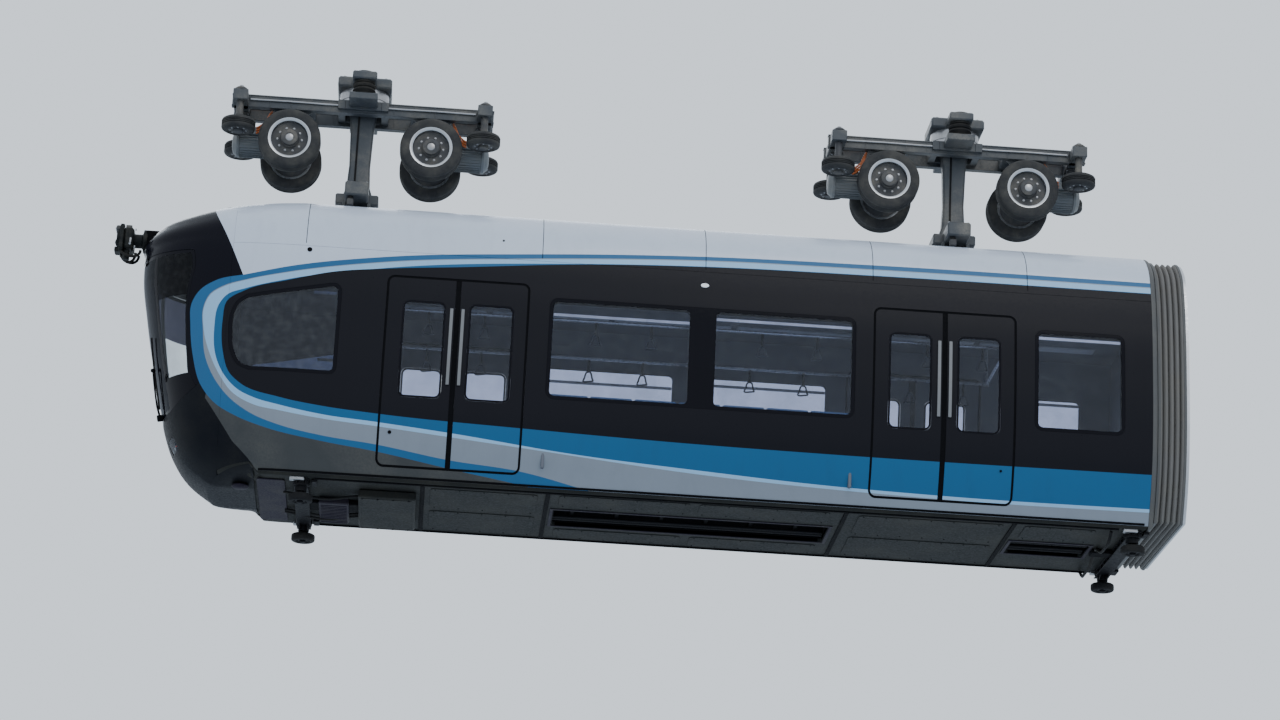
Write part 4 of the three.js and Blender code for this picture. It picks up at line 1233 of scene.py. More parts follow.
def chin():
    """Rounded fairing below the nose, stepped at its rear edge."""
    rear, drop, reach = CHIN_START, 0.018, 0.10
    start = unroll([(rear, 0)])[0]
    left = surface(dense([start, (NOSE_START + NOSE_ARC, 0)], 0.05))[:, :2]
    edge = np.concatenate([left, (left * (1, -1))[::-1][1:]])

    def underside(flat):
        share = np.clip(line_distance(flat, edge) / reach, 0, 1)
        return -drop * (1 - (1 - share) ** 2)

    build = plan_sheet(leftwards(edge), [], [grown(leftwards(edge), -0.05)[2:-2]], underside, 0.012,
                       chin_grey, 0.05)
    build.turned([(0, 0), (0.085, 0), (0.09, 0.012), (0.075, 0.03), (0, 0.034)],
                 at(9.36, 0.50, -0.012), DOWN, pan_rim, 32)
    build.made("chin_fairing", "nose_paint", sharp=50)


def wiper():
    """Arm and blade, standing just off the windscreen."""
    build = Build()

    def off_glass(y, h, distance):
        place, way = front_point(y, h)
        return in_frame(place + way * distance)

    for offset in (-0.02, 0.02):
        build.tube([off_glass(0.30 + offset, 0.72 + 0.04 * i, 0.03 + 0.004 * i) for i in range(4)]
                   + [off_glass(0.33 + offset * 0.4 + 0.05 * i, 0.92 + 0.14 * i, 0.045) for i in range(3)],
                   0.008, seam_black, 8)
    blade = [off_glass(0.30 + 0.16 * i / 8, 0.80 + 0.72 * i / 8, 0.022) for i in range(9)]
    build.tube(blade, 0.010, rubber, 8)
    build.rod(off_glass(0.30, 0.71, 0.0), off_glass(0.30, 0.71, 0.06), 0.035, seam_black)
    build.rod(off_glass(0.40, 1.19, 0.015), off_glass(0.40, 1.19, 0.06), 0.018, seam_black)
    build.made("windscreen_wiper", "coupler_steel")


def roof_dome():
    """Low antenna dome on the centreline above the mask."""
    place = in_frame(bent([(9.70, 0, 3.12)]))[0]
    build = Build()
    build.turned([(0, 0), (0.125, 0), (0.125, 0.03), (0.11, 0.065), (0.08, 0.095), (0.04, 0.112), (0, 0.117)],
                 place, UP, chin_grey, 40)
    build.turned([(0, -0.02), (0.15, -0.02), (0.15, 0.004), (0.13, 0.012), (0, 0.012)], place, UP, grey, 40)
    build.made("antenna_dome", "nose_paint", sharp=30)


def front_coupler():
    """Automatic coupler: shank in its collar, head with face plate, cone, funnel, levers and hoses."""
    z = above(COUPLER_HEIGHT)
    build = Build()
    inner = MOUTH_HALF - 0.012
    build.box((along(10.28), -inner, z - inner), (along(10.60), inner, z + inner), seam_black, 0.02)
    build.turned([(0, 0), (0.115, 0), (0.125, 0.015), (0.125, 0.04), (0.085, 0.05), (0.075, 0.06),
                  (0.075, 0.15), (0, 0.15)], (along(10.57), 0, z), AHEAD, coupler_iron, 32)
    build.box((along(10.71), -0.14, z - 0.12), (along(10.815), 0.14, z + 0.11), coupler_iron, 0.022)
    face = [(-0.15, -0.135), (-0.10, -0.16), (0.10, -0.16), (0.15, -0.12), (0.15, 0.09), (0.11, 0.15),
            (-0.11, 0.15), (-0.15, 0.10)]
    build.prism([(y, h + z) for y, h in face], 0, along(10.815), along(10.86), coupler_iron, 0.008)
    build.turned([(0, 0), (0.062, 0), (0.060, 0.015), (0.038, 0.05), (0.012, 0.062), (0, 0.062)],
                 (along(10.858), -0.075, z), AHEAD, coupler_iron, 28)
    build.turned([(0.035, 0), (0.066, 0), (0.070, 0.03), (0.062, 0.03), (0.035, 0.008)],
                 (along(10.858), 0.072, z), AHEAD, coupler_iron, 28)
    build.box((along(10.856), -0.125, z - 0.13), (along(10.915), 0.02, z - 0.075), coupler_iron, 0.01)
    build.box((along(10.856), -0.09, z + 0.085), (along(10.905), 0.09, z + 0.14), cast_iron, 0.012)
    for y in (-0.055, 0.0, 0.055):
        build.rod((along(10.90), y, z + 0.112), (along(10.914), y, z + 0.112), 0.014, steel, 14)
    for y, h in product((-0.115, 0.115), (-0.10, 0.09)):
        build.bolt((along(10.70), y, z + h), BACK, 0.014, steel)
    build.tube([(along(10.74), 0.15 + 0.012 * i, z - 0.02 - 0.035 * i + 0.004 * i * i) for i in range(5)],
               0.012, steel, 8)
    for y, low, reach in ((-0.09, 0.215, 0.13), (0.0, 0.235, 0.11), (0.095, 0.20, 0.15)):
        turn = [t / 10 * math.pi for t in range(11)]
        build.tube([(along(10.84) - reach * (1 - math.cos(t)) / 2 * 1.4, y + 0.02 * math.sin(t * 2),
                     z - 0.13 - (low - 0.13) * math.sin(t)) for t in turn], 0.015, rubber, 10)
        build.rod((along(10.84), y, z - 0.15), (along(10.84), y, z - 0.11), 0.02, steel, 14)
    build.rod((along(10.78), 0.06, z - 0.235), (along(10.78), 0.06, z - 0.13), 0.036, coupler_iron, 20)
    for i in range(4):
        build.box((along(10.735), -0.11 + 0.07 * i, z + 0.10), (along(10.80), -0.085 + 0.07 * i, z + 0.135),
                  cast_iron, 0.005)
    build.made("coupler_head", "coupler_steel", replaces=["front_coupler"])


# Rear end and gangway

def section_outline(inset, low=0.0, steps=44, high=CROWN):
    """The section as an outline across the car, from (y, h) points counted leftwards."""
    places = np.linspace(section_place(low), section_place(high), steps)
    left = np.stack([half_along_section(places), height_along_section(places)], 1)
    right = (left * (-1, 1))[::-1]
    whole = leftwards(np.concatenate([left, right[1:] if high >= CROWN else right]))
    return grown(whole, -inset) if inset else whole


def flat_sheet(build, outline, holes, a_low, a_high, material):
    """Upright plate across the car with holes through it."""
    flat, faces = two_faced(outline, holes, (), 0.2)
    build.add(in_frame([(a, *place) for a in (a_low, a_high) for place in flat]), faces, material)


def swept(build, outline, profile, material):
    """A profile of (place along the car, inset) points carried round an outline across the car."""
    rings = [grown(outline, -inset) for _, inset in profile]
    stations = [[(a, *ring[i]) for (a, _), ring in zip(profile, rings)] for i in range(len(rings[0]))]
    build.loft([in_frame(station) for station in stations], material, closed=True)


PASSAGE = rounded((-0.45, 0.45), (0.2, 2.2), 0.1, 6)
GANGWAY_OPENING = rounded((-0.56, 0.56), (0.18, 2.86), 0.15, 6)
BELLOWS_LENGTH, RING_THICKNESS = 0.30, 0.035
GANGWAY_HEIGHTS = (0.04, 3.04)


def end_wall():
    """Bulkhead with the passage through it, and the rounded frame round its edge."""
    build = Build()
    inset = 0.048
    hole = oval((0, COUPLER_HEIGHT), (0.075, 0.075), 24)
    flat_sheet(build, section_outline(inset), [PASSAGE, hole], 0.0, 0.056, lining)
    corner = [(inset * (1 - math.cos(t)), inset * (1 - math.sin(t))) for t in np.linspace(0, math.pi / 2, 6)]
    swept(build, section_outline(0), [*corner, (END_WALL - 0.001, 0), (END_WALL - 0.001, inset + 0.01),
                                      (0.004, inset + 0.01)], end_grey)
    for sign in (-1, 1):
        build.box(at(0, sign * 0.47 - 0.012, 0.25), at(-0.02, sign * 0.47 + 0.012, 2.1), bright_steel, 0.006)
    build.made("rear_bulkhead", "end_wall_paint", replaces=["rear_end_wall"])


def gangway_outline(inset):
    return section_outline(inset, GANGWAY_HEIGHTS[0], 40, GANGWAY_HEIGHTS[1])


def pleat(a, pitch, low, high):
    """Inset of the pleated cloth: full folds outside, sharp creases inside."""
    return low - (low - high) * abs(math.sin(math.pi * a / pitch)) ** 0.7


def gangway():
    """Half of the bellows: pleated cloth outside and inside, and the frames that hold it."""
    pleats, steps = 5, 8
    pitch = BELLOWS_LENGTH / pleats
    places = [pitch * i / steps for i in range(pleats * steps + 1)]
    outer = gangway_outline(0)
    build = Build()
    reach = [(-BELLOWS_LENGTH + a, pleat(a, pitch, 0.088, 0.036)) for a in places]
    swept(build, outer, [*reach, *((a, inset + 0.005) for a, inset in reach[::-1])], bellows_cloth)
    reach = [(-BELLOWS_LENGTH + a, -pleat(a, pitch, 0.052, 0.012)) for a in places]
    swept(build, GANGWAY_OPENING, [*reach, *((a, inset - 0.005) for a, inset in reach[::-1])], bellows_cloth)
    build.made("bellows_folds", "bellows_fabric", replaces=["gangway_bellows"], sharp=60)
    frames = Build()
    for a in (-0.028, -BELLOWS_LENGTH - 0.001):
        swept(frames, outer, [(a, 0.030), (a + 0.026, 0.030), (a + 0.026, 0.10), (a, 0.10)], end_grey)
    swept(frames, GANGWAY_OPENING, [(-0.03, -0.06), (-0.003, -0.06), (-0.003, -0.001), (-0.03, -0.001)],
          aluminium)
    frames.made("bellows_frames", "ring_aluminium")


def gangway_ring():
    """Face of the bellows toward the next car: bolted plate, sealing rubber and centring cups."""
    build = Build()
    start = -BELLOWS_LENGTH - RING_THICKNESS
    flat_sheet(build, gangway_outline(0.05), [GANGWAY_OPENING], start + 0.006,
               start + RING_THICKNESS - 0.006, aluminium)
    outline = gangway_outline(0.045)
    swept(build, outline, [(start + 0.002, 0), (start + 0.031, 0), (start + 0.031, 0.035),
                           (start + 0.002, 0.035)], aluminium)
    swept(build, GANGWAY_OPENING, [(start, -0.04), (start + 0.012, -0.04), (start + 0.012, -0.012),
                                   (start, -0.012)], rubber)
    for y, h in dense(grown(outline, -0.06), 0.2, True)[::2]:
        build.bolt(at(start + 0.006, y, h), BACK, 0.012, steel)
    for sign, h in product((-1, 1), (0.6, 1.5, 2.4)):
        y = sign * 0.86
        build.box(at(start, y - 0.05, h - 0.09), at(start + 0.012, y + 0.05, h + 0.09), cast_iron, 0.006)
        build.rod(at(start + 0.006, y, h - 0.05), at(start, y, h - 0.05), 0.02, steel)
    build.made("gangway_end_ring", "ring_aluminium", replaces=["gangway_ring"])


def drawbar():
    """Bar to the next car, held in a pocket behind the end wall."""
    z = above(COUPLER_HEIGHT)
    build = Build()
    build.rod((along(-0.31), 0, z), (along(0.23), 0, z), 0.058, coupler_iron, 32)
    build.turned([(0, 0), (0.095, 0), (0.095, 0.02), (0.06, 0.024), (0, 0.024)], (along(-0.335), 0, z), AHEAD,
                 coupler_iron, 32)
    build.box((along(0.075), -0.165, z - 0.125), (along(0.215), 0.165, z + 0.125), cast_iron, 0.012)
    for y, h in product((-0.13, 0.13), (-0.095, 0.095)):
        build.bolt((along(0.215), y, z + h), AHEAD, 0.016, steel)
    build.bolt_ring(6, 0.078, (along(-0.311), 0, z), AHEAD, 0.010, steel)
    build.made("semi_permanent_drawbar", "coupler_steel", replaces=["rear_drawbar"])


# Underframe and what hangs below it

RECESSES = [((3.28, 6.13), (-0.34, 0.27), 0.11), ((0.52, 1.33), (-0.30, 0.17), 0.09)]
COVERS = [((1.52, 3.02), (-0.80, -0.06)), ((1.52, 3.02), (0.06, 0.80)), ((3.32, 4.66), (0.42, 0.84)),
          ((4.76, 6.10), (0.42, 0.84)), ((3.32, 4.66), (-0.84, -0.48)), ((4.76, 6.10), (-0.84, -0.48)),
          ((6.32, 7.42), (-0.80, -0.06)), ((6.32, 7.42), (0.06, 0.80)), ((0.56, 1.30), (0.30, 0.80))]
EDGE_RADIUS = 0.028


def box_at(build, a_range, y_range, h_range, material, chamfer=0.004):
    """Box between places along the car, across it and up from its underside."""
    low = (along(min(a_range)), min(y_range), above(min(h_range)))
    high = (along(max(a_range)), max(y_range), above(max(h_range)))
    build.box(low, high, material, chamfer)


def boxes_at(build, a_range, y_range, h_range, material, chamfer=0.004):
    """A box and its mirror image."""
    for sign in (-1, 1):
        box_at(build, a_range, [sign * y for y in y_range], h_range, material, chamfer)


def plate_at(build, a_range, y_range, h_range, radius, material, chamfer=0.003):
    """Level plate with round corners in plan."""
    outline = rounded((along(a_range[0]), along(a_range[1])), y_range, radius, 4)
    build.prism(outline, 2, above(h_range[0]), above(h_range[1]), material, chamfer)


def underframe():
    """Pan below the floor with its two recesses, cover plates, seams and the saloon floor."""
    outline = lower_outline(PAN_TOP, END_WALL + GAP, NOSE_SPLIT, 0.001)
    closed = looped(outline)
    holes = [rounded(a_range, y_range, 0.035, 4) for a_range, y_range, _ in RECESSES]

    def underside(flat):
        share = np.clip(line_distance(flat, closed) / EDGE_RADIUS, 0, 1)
        return PAN_TOP - EDGE_RADIUS * np.sqrt(1 - (1 - share) ** 2)

    edges = [looped(grown(outline, -EDGE_RADIUS * share)) for share in (0.15, 0.45, 1.0)]
    build = plan_sheet(outline, holes, edges, underside, PAN_TOP + 0.004, pan_grey, 0.16)
    for (a0, a1), (y0, y1), depth in RECESSES:
        wall = 0.012
        for a in (a0 - wall, a1):
            box_at(build, (a, a + wall), (y0 - wall, y1 + wall), (-0.004, depth), pan_dark)
        for y in (y0 - wall, y1):
            box_at(build, (a0, a1), (y, y + wall), (-0.004, depth), pan_dark)
        box_at(build, (a0 - wall, a1 + wall), (y0 - wall, y1 + wall), (depth, depth + 0.01), pan_dark)
        for a in (a0 - 0.045, a1 + 0.012):
            box_at(build, (a, a + 0.033), (y0 - 0.045, y1 + 0.045), (-0.008, 0.001), pan_rim, 0.003)
        for y in (y0 - 0.045, y1 + 0.012):
            box_at(build, (a0 - 0.012, a1 + 0.012), (y, y + 0.033), (-0.008, 0.001), pan_rim, 0.003)
        for i in range(int((a1 - a0) / 0.47)):
            a = a0 + 0.3 + 0.47 * i
            box_at(build, (a - 0.02, a + 0.02), (y0, y1), (depth - 0.03, depth), pan_dark)
        for y, radius in ((y0 + 0.09, 0.022), (y0 + 0.15, 0.014), (y1 - 0.10, 0.026)):
            build.rod(at(a0 + 0.002, y, depth - 0.055), at(a1 - 0.002, y, depth - 0.055), radius, under_iron,
                      14)
    for a_range, y_range in COVERS:
        (a0, a1), (y0, y1) = a_range, y_range
        plate_at(build, a_range, y_range, (-0.005, 0.002), 0.05, pan_grey, 0.002)
        count = max(2, round((a1 - a0) / 0.26))
        for i, y in product(range(count + 1), (y0 + 0.03, y1 - 0.03)):
            a = a0 + 0.05 + (a1 - a0 - 0.1) * i / count
            build.bolt(at(a, y, -0.005), DOWN, 0.007, under_iron)
    for a in (1.42, 3.16, 6.22, 7.50):
        box_at(build, (a - 0.022, a + 0.022), (-0.88, 0.88), (-0.010, 0.002), pan_dark, 0.003)
    boxes_at(build, (0.35, 8.6), (0.895, 0.925), (-0.012, 0.006), pan_dark, 0.003)
    floor = lower_outline(0.2, END_WALL + 0.005, NOSE_SPLIT, 0.07)
    build.prism(floor + (GANGWAY_WALL, 0), 2, above(0.16), above(0.20), floor_vinyl)
    build.made("underframe_pan", "frame_paint", replaces=["underframe"])


ROLLER_PLACES = {"front": 8.73, "rear": 0.185}
ROLLER_Y, ROLLER_DROP = 0.80, 0.19


def roller_beams():
    """Cross-beams with the stabilising rollers' brackets, and the boxes fixed beside them."""
    for end, a in ROLLER_PLACES.items():
        build = Build()
        box_at(build, (a - 0.075, a + 0.075), (-0.90, 0.90), (-0.070, -0.060), under_iron, 0.003)
        box_at(build, (a - 0.075, a + 0.075), (-0.90, 0.90), (-0.011, -0.001), under_iron, 0.003)
        for side in (-0.045, 0.045):
            box_at(build, (a + side - 0.006, a + side + 0.006), (-0.89, 0.89), (-0.062, -0.009), under_iron,
                   0.002)
        for i in range(9):
            y = -0.72 + 0.18 * i
            box_at(build, (a - 0.07, a + 0.07), (y - 0.005, y + 0.005), (-0.062, -0.009), under_iron, 0.001)
        for sign in (-1, 1):
            y = sign * ROLLER_Y
            build.turned([(0, -0.065), (0.085, -0.065), (0.085, -0.005), (0.060, 0.004), (0.058, 0.060),
                          (0.046, 0.0645), (0, 0.0645)], at(a, y, -0.06), DOWN, under_iron, 28)
            build.bolt_ring(6, 0.072, at(a, y, -0.066), DOWN, 0.008, under_iron, math.radians(15))
            for side in (-1, 1):
                build.prism([(y - sign * 0.055, above(-0.062)), (y - sign * 0.055, above(-0.112)),
                             (y - sign * 0.075, above(-0.116)), (y - sign * 0.17, above(-0.062))], 0,
                            along(a) + side * 0.04 - 0.005, along(a) + side * 0.04 + 0.005, under_iron, 0.001)
        boxes_at(build, (a - 0.03, a + 0.12), (0.86, 0.93), (-0.030, 0.020), steel, 0.008)
        boxes_at(build, (a - 0.16, a - 0.10), (0.70, 0.88), (-0.030, -0.002), under_iron, 0.006)
        if end == "front":
            box_at(build, (7.57, a), (-0.15, 0.15), (-0.052, -0.001), pan_dark, 0.008)
            plate_at(build, (7.56, 8.15), (-0.62, 0.62), (-0.088, -0.001), 0.03, pan_grey, 0.012)
            plate_at(build, (7.60, 8.11), (-0.58, 0.58), (-0.093, -0.087), 0.02, pan_grey, 0.002)
            for i, y in product(range(4), (-0.59, 0.59)):
                build.bolt(at(7.63 + 0.16 * i, y * 0.98, -0.093), DOWN, 0.009, under_iron)
            plate_at(build, (8.25, 8.56), (-0.56, 0.24), (-0.074, -0.001), 0.03, pan_rim, 0.012)
            for i in range(12):
                box_at(build, (8.27, 8.54), (-0.52 + 0.06 * i, -0.505 + 0.06 * i), (-0.080, -0.07), pan_rim,
                       0.002)
            plate_at(build, (8.90, 9.19), (-0.80, 0.80), (-0.014, -0.001), 0.03, pan_rim, 0.004)
            for y, drop in ((0.40, 0.05), (-0.38, 0.06), (-0.30, 0.045)):
                path = [(8.12 + 0.10 * i, y + 0.02 * math.sin(i * 1.3),
                         -0.018 - drop * math.sin(i / 8 * math.pi)) for i in range(9)]
                build.tube(in_frame(path), 0.014, rubber, 10)
        else:
            box_at(build, (a, 0.47), (-0.085, 0.085), (-0.048, -0.001), pan_dark, 0.006)
            for sign in (-1, 1):
                path = []
                for y in (0.10, 0.16, 0.22, 0.30, 0.40, 0.55, 0.70, 0.76, 0.82, 0.86):
                    sag = math.sin(min(1, (y - 0.1) / 0.3) * math.pi / 2)
                    path.append((0.42, sign * y,
                                 -0.012 - 0.095 * sag * (1 if y < 0.72 else 1 - (y - 0.72) / 0.15)))
                build.tube(in_frame(path), 0.016, rubber, 10)
            box_at(build, (0.395, 0.445), (-0.10, 0.10), (-0.03, -0.001), cast_iron, 0.004)
        build.made(f"{end}_roller_crossbeam", "underfloor_steel", replaces=[f"{end}_roller_beam"])


def rollers():
    """The rubber-tyred rollers that steady the body."""
    for end, a in ROLLER_PLACES.items():
        for side, sign in SIDES.items():
            centre = at(a, sign * ROLLER_Y, -ROLLER_DROP)
            build = Build()
            build.turned([(0.078, -0.036), (0.108, -0.039), (0.120, -0.032), (0.125, -0.020), (0.125, 0.020),
                          (0.120, 0.032), (0.108, 0.039), (0.078, 0.036)], centre, UP, rubber, 56)
            build.turned([(0, -0.052), (0.024, -0.052), (0.033, -0.044), (0.034, -0.030), (0.070, -0.026),
                          (0.0785, -0.034), (0.0785, 0.034), (0.070, 0.028), (0.043, 0.032), (0.040, 0.0605),
                          (0, 0.0605)], centre, UP, under_iron, 40)
            build.bolt_ring(6, 0.054, centre - (0, 0, 0.026), DOWN, 0.007, under_iron)
            build.made(f"{end}_{side}_stabilising_roller", "roller_rubber", f"{end}_{side}_roller_body",
                       [f"{end}_{side}_roller"])


# Inside: where things stand on the floor and hang from the ceiling

ON_FLOOR, ON_CEILING = 0.2005, 2.3795


def cushion(name, centre, half, turn=0.0):
    """Stuffed pad: crowned faces, sides drawn in between the corners, and a seam round its edge."""
    count = 26
    grid = np.linspace(-1, 1, count)
    vertices, faces = [], []
    for level in (1, -1):
        for u, v in product(grid, grid):
            waist = 1 - 0.04 * (1 - v * v) * abs(u) ** 4, 1 - 0.04 * (1 - u * u) * abs(v) ** 4
            edge = (1 - abs(u) ** 6) * (1 - abs(v) ** 6)
            crown = 0.35 * edge ** 0.5 + 0.65 * (1 - u * u) ** 0.5 * (1 - v * v) ** 0.5
            channel = 0.10 * math.exp(-((abs(u) - 0.55) / 0.05) ** 2)
            vertices.append((u * half[0] * waist[0], v * half[1] * waist[1],
                             level * half[2] * max(crown - channel * edge, 0.03)))
    size = count * count
    for i, j in product(range(count - 1), repeat=2):
        face = (i * count + j, (i + 1) * count + j, (i + 1) * count + j + 1, i * count + j + 1)
        faces += [face, tuple(size + k for k in face[::-1])]
    border = ([(i, 0) for i in range(count)] + [(count - 1, j) for j in range(1, count)]
              + [(i, count - 1) for i in range(count - 2, -1, -1)]
              + [(0, j) for j in range(count - 2, 0, -1)])
    border = [i * count + j for i, j in border]
    for start, end in zip(border, border[1:] + border[:1]):
        faces.append((end, start, start + size, end + size))
    rotation = Matrix.Rotation(turn, 3, "Y")
    build = Build()
    build.add([rotation @ Vector(v) + Vector(centre) for v in vertices], faces, seat_cloth)
    build.made(name, "seat_fabric", sharp=70)


def linings():
    """The ceiling and the cab partition keep their solids and take the lining's look."""
    for name in ("ceiling", "cab_partition"):
        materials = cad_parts[name].data.materials
        materials.clear()
        materials.append(lining)


def ceiling_lights():
    """Two rows of lights, and the vents between them."""
    lights = Build()
    for y in (-0.56, 0.56):
        for i in range(6):
            a = 0.35 + 1.32 * i
            box_at(lights, (a, a + 1.24), (y - 0.06, y + 0.06), (2.362, ON_CEILING), ceiling_lens, 0.008)
            box_at(lights, (a - 0.01, a + 1.25), (y - 0.075, y + 0.075), (2.370, ON_CEILING + 0.0002),
                   aluminium, 0.004)
    for i in range(14):
        box_at(lights, (0.5 + 0.55 * i, 0.9 + 0.55 * i), (-0.09, 0.09), (2.372, ON_CEILING + 0.0002),
               aluminium, 0.003)
    lights.made("ceiling_lights", "interior_panel")


def grab_rails():
    """Rails below the ceiling with posts and hanging straps."""
    rails = Build()
    height, reach, radius = 1.95, 0.64, 0.0165
    stations = (1.5, 2.95, 4.735, 6.52, 7.95)
    for sign in (-1, 1):
        rails.rod(at(1.48, sign * reach, height), at(7.97, sign * reach, height), radius,
                  bright_steel, 16)
        for a in stations:
            rails.rod(at(a, sign * reach, height), at(a, sign * reach, ON_CEILING), radius,
                      bright_steel, 16)
            rails.turned([(0, 0), (0.04, 0), (0.04, 0.006), (0.02, 0.014), (0, 0.014)],
                         at(a, sign * reach, ON_CEILING + 0.0001), DOWN, bright_steel, 20)
            rails.turned([(0.017, -0.03), (0.024, -0.03), (0.024, 0.03), (0.017, 0.03)],
                         at(a, sign * reach, height), AHEAD, bright_steel, 20)
        for a in (2.95, 6.52):
            rails.rod(at(a, sign * reach, ON_FLOOR), at(a, sign * reach, height), radius,
                      bright_steel, 16)
            rails.turned([(0, 0), (0.045, 0), (0.045, 0.006), (0.02, 0.016), (0, 0.016)],
                         at(a, sign * reach, ON_FLOOR - 0.0002), UP, bright_steel, 20)
        for i in range(11):
            a = 1.75 + 0.58 * i
            if min(abs(a - station) for station in stations) < 0.06:
                continue
            rails.box(at(a - 0.014, sign * reach - 0.002, 1.80),
                      at(a + 0.014, sign * reach + 0.002, 1.935), seam_black, 0.001)
            corners = [(a - 0.055, 1.70), (a + 0.055, 1.70), (a + 0.045, 1.72), (a + 0.012, 1.80),
                       (a - 0.012, 1.80), (a - 0.045, 1.72)]
            path = curved([*corners, corners[0]], 0.02)
            rails.tube([at(p, sign * reach, h) for p, h in path], 0.009, strap_grey, 8)
    for a in (stations[0], stations[-1]):
        rails.rod(at(a, -reach, height), at(a, reach, height), radius, bright_steel, 16)
    rails.made("grab_rails_and_straps", "grab_rail_steel", replaces=["grab_rails"])


def benches():
    """Rows of moulded seats along the walls, between two end panels."""
    low, high, count = 3.15, 6.32, 7
    width = (high - low) / count
    profile = [(0.765, ON_FLOOR), (1.03, ON_FLOOR), (1.105, 0.72), (1.118, 0.99), (1.05, 1.005),
               (0.985, 0.985), (0.95, 0.80), (0.925, 0.665), (0.86, 0.628), (0.70, 0.632), (0.622, 0.642),
               (0.594, 0.612), (0.60, 0.575), (0.74, 0.545)]
    for side, sign in SIDES.items():
        build = Build()
        for i in range(count):
            outline = [(y * sign, above(h)) for y, h in profile]
            build.prism(outline, 0, along(low + width * i) + 0.006, along(low + width * (i + 1)) - 0.006,
                        seat_blue, 0.018)
        for a in (low, high - 0.03):
            box_at(build, (a - 0.001, a + 0.031), (sign * 0.70, sign * 1.10), (0.21, 0.60), lining, 0.01)
        build.made(f"{side}_moulded_bench", "seat_fabric", replaces=[f"{side}_bench"])


def cab_door():
    """Door in the cab partition with its frame, and the windows beside it."""
    door = Build()
    box_at(door, (8.305, 8.335), (-0.322, 0.322), (0.205, 1.992), lining, 0.006)
    boxes_at(door, (8.292, 8.348), (0.335, 0.36), (0.205, 2.02), aluminium, 0.004)
    boxes_at(door, (8.315, 8.325), (0.46, 0.90), (1.11, 1.94), frit, 0.002)
    box_at(door, (8.292, 8.348), (-0.36, 0.36), (1.995, 2.03), aluminium, 0.004)
    box_at(door, (8.285, 8.30), (0.22, 0.27), (1.05, 1.20), bright_steel, 0.005)
    door.made("cab_door", "interior_panel")


def cab():
    """Desk with its screens and handles, and the driver's seat."""
    outline = [(9.38, ON_FLOOR), (9.90, ON_FLOOR), (10.04, 0.52), (9.97, 0.86), (9.86, 0.905), (9.64, 0.885),
               (9.36, 0.825), (9.335, 0.79), (9.345, 0.765), (9.42, 0.72)]
    outline = dense(outline, 0.04, True)
    half = np.minimum(0.80, half_at(outline[:, 0], outline[:, 1]) - 0.08)
    desk = Build()
    left = [at(a, y, h) for (a, h), y in zip(outline, half)]
    right = [at(a, -y, h) for (a, h), y in zip(outline, half)]
    desk.loft([left, right], desk_plastic)
    tilt = Matrix.Rotation(math.radians(-52), 3, "Y")
    for y, width in ((-0.36, 0.15), (0.0, 0.17), (0.36, 0.15)):
        middle = at(9.72, y, 0.95)
        desk.box(middle - (0.012, width, 0.10), middle + (0.012, width, 0.10), desk_plastic, 0.008, tilt)
        desk.box(middle - (0.0135, width - 0.015, 0.085), middle + (-0.0115, width - 0.015, 0.085), frit,
                 0.001, tilt)
    for y in (-0.22, 0.22):
        desk.rod(at(9.48, y, 0.84), at(9.46, y, 0.93), 0.012, bright_steel, 14)
        desk.turned([(0, 0), (0.022, 0.004), (0.028, 0.022), (0.020, 0.040), (0, 0.046)],
                    at(9.46, y, 0.925), UP, rubber, 20)
    for i, y in product(range(6), (-0.55, -0.50, 0.50, 0.55)):
        desk.rod(at(9.46 + 0.04 * i, y, 0.845 + 0.008 * i),
                 at(9.458 + 0.04 * i, y, 0.862 + 0.008 * i), 0.010, aluminium if i % 2 else tail_red, 12)
    desk.made("driving_desk", "desk_plastic", replaces=["driver_desk"])
    seat = Build()
    seat.turned([(0, 0), (0.15, 0), (0.155, 0.012), (0.10, 0.035), (0.058, 0.05), (0.055, 0.30),
                 (0.042, 0.302), (0.042, 0.385), (0, 0.385)], at(8.975, 0, ON_FLOOR), UP, desk_plastic, 32)
    box_at(seat, (8.78, 9.17), (-0.21, 0.21), (0.582, 0.600), desk_plastic, 0.008)
    shell = [(8.86, 0.60), (8.885, 0.64), (8.835, 1.27), (8.80, 1.33), (8.735, 1.33), (8.72, 1.27),
             (8.765, 0.64), (8.80, 0.60)]
    seat.prism([(along(a), above(h)) for a, h in shell[::-1]], 1, -0.215, 0.215, desk_plastic, 0.02)
    boxes_at(seat, (8.84, 9.12), (0.235, 0.285), (0.80, 0.835), rubber, 0.014)
    boxes_at(seat, (8.82, 8.86), (0.215, 0.25), (0.66, 0.82), desk_plastic, 0.006)
    seat.made("driver_seat_shell", "desk_plastic", replaces=["driver_seat"])
    cushion("driver_seat_cushion", at(9.0, 0, 0.655), (0.215, 0.235, 0.060))
    cushion("driver_seat_back", at(8.895, 0, 0.98), (0.29, 0.215, 0.055), math.radians(-94.5))


# Bogies: places along them, across and up, counted from the bogie's middle and the running surface

AXLE_OFFSET, GUIDE_OFFSET = 0.75, 1.30
WHEEL_Y, GUIDE_Y, BEAM_Y, SPRING_Y = 0.33, 0.37, 0.20, 0.40
AXLE_HEIGHT, GUIDE_HEIGHT, MOTOR_HEIGHT = 0.33, 0.45, 0.38
BEAM_LOW, BEAM_HIGH = 0.72, 0.86
ROOF_TOP = 3.15


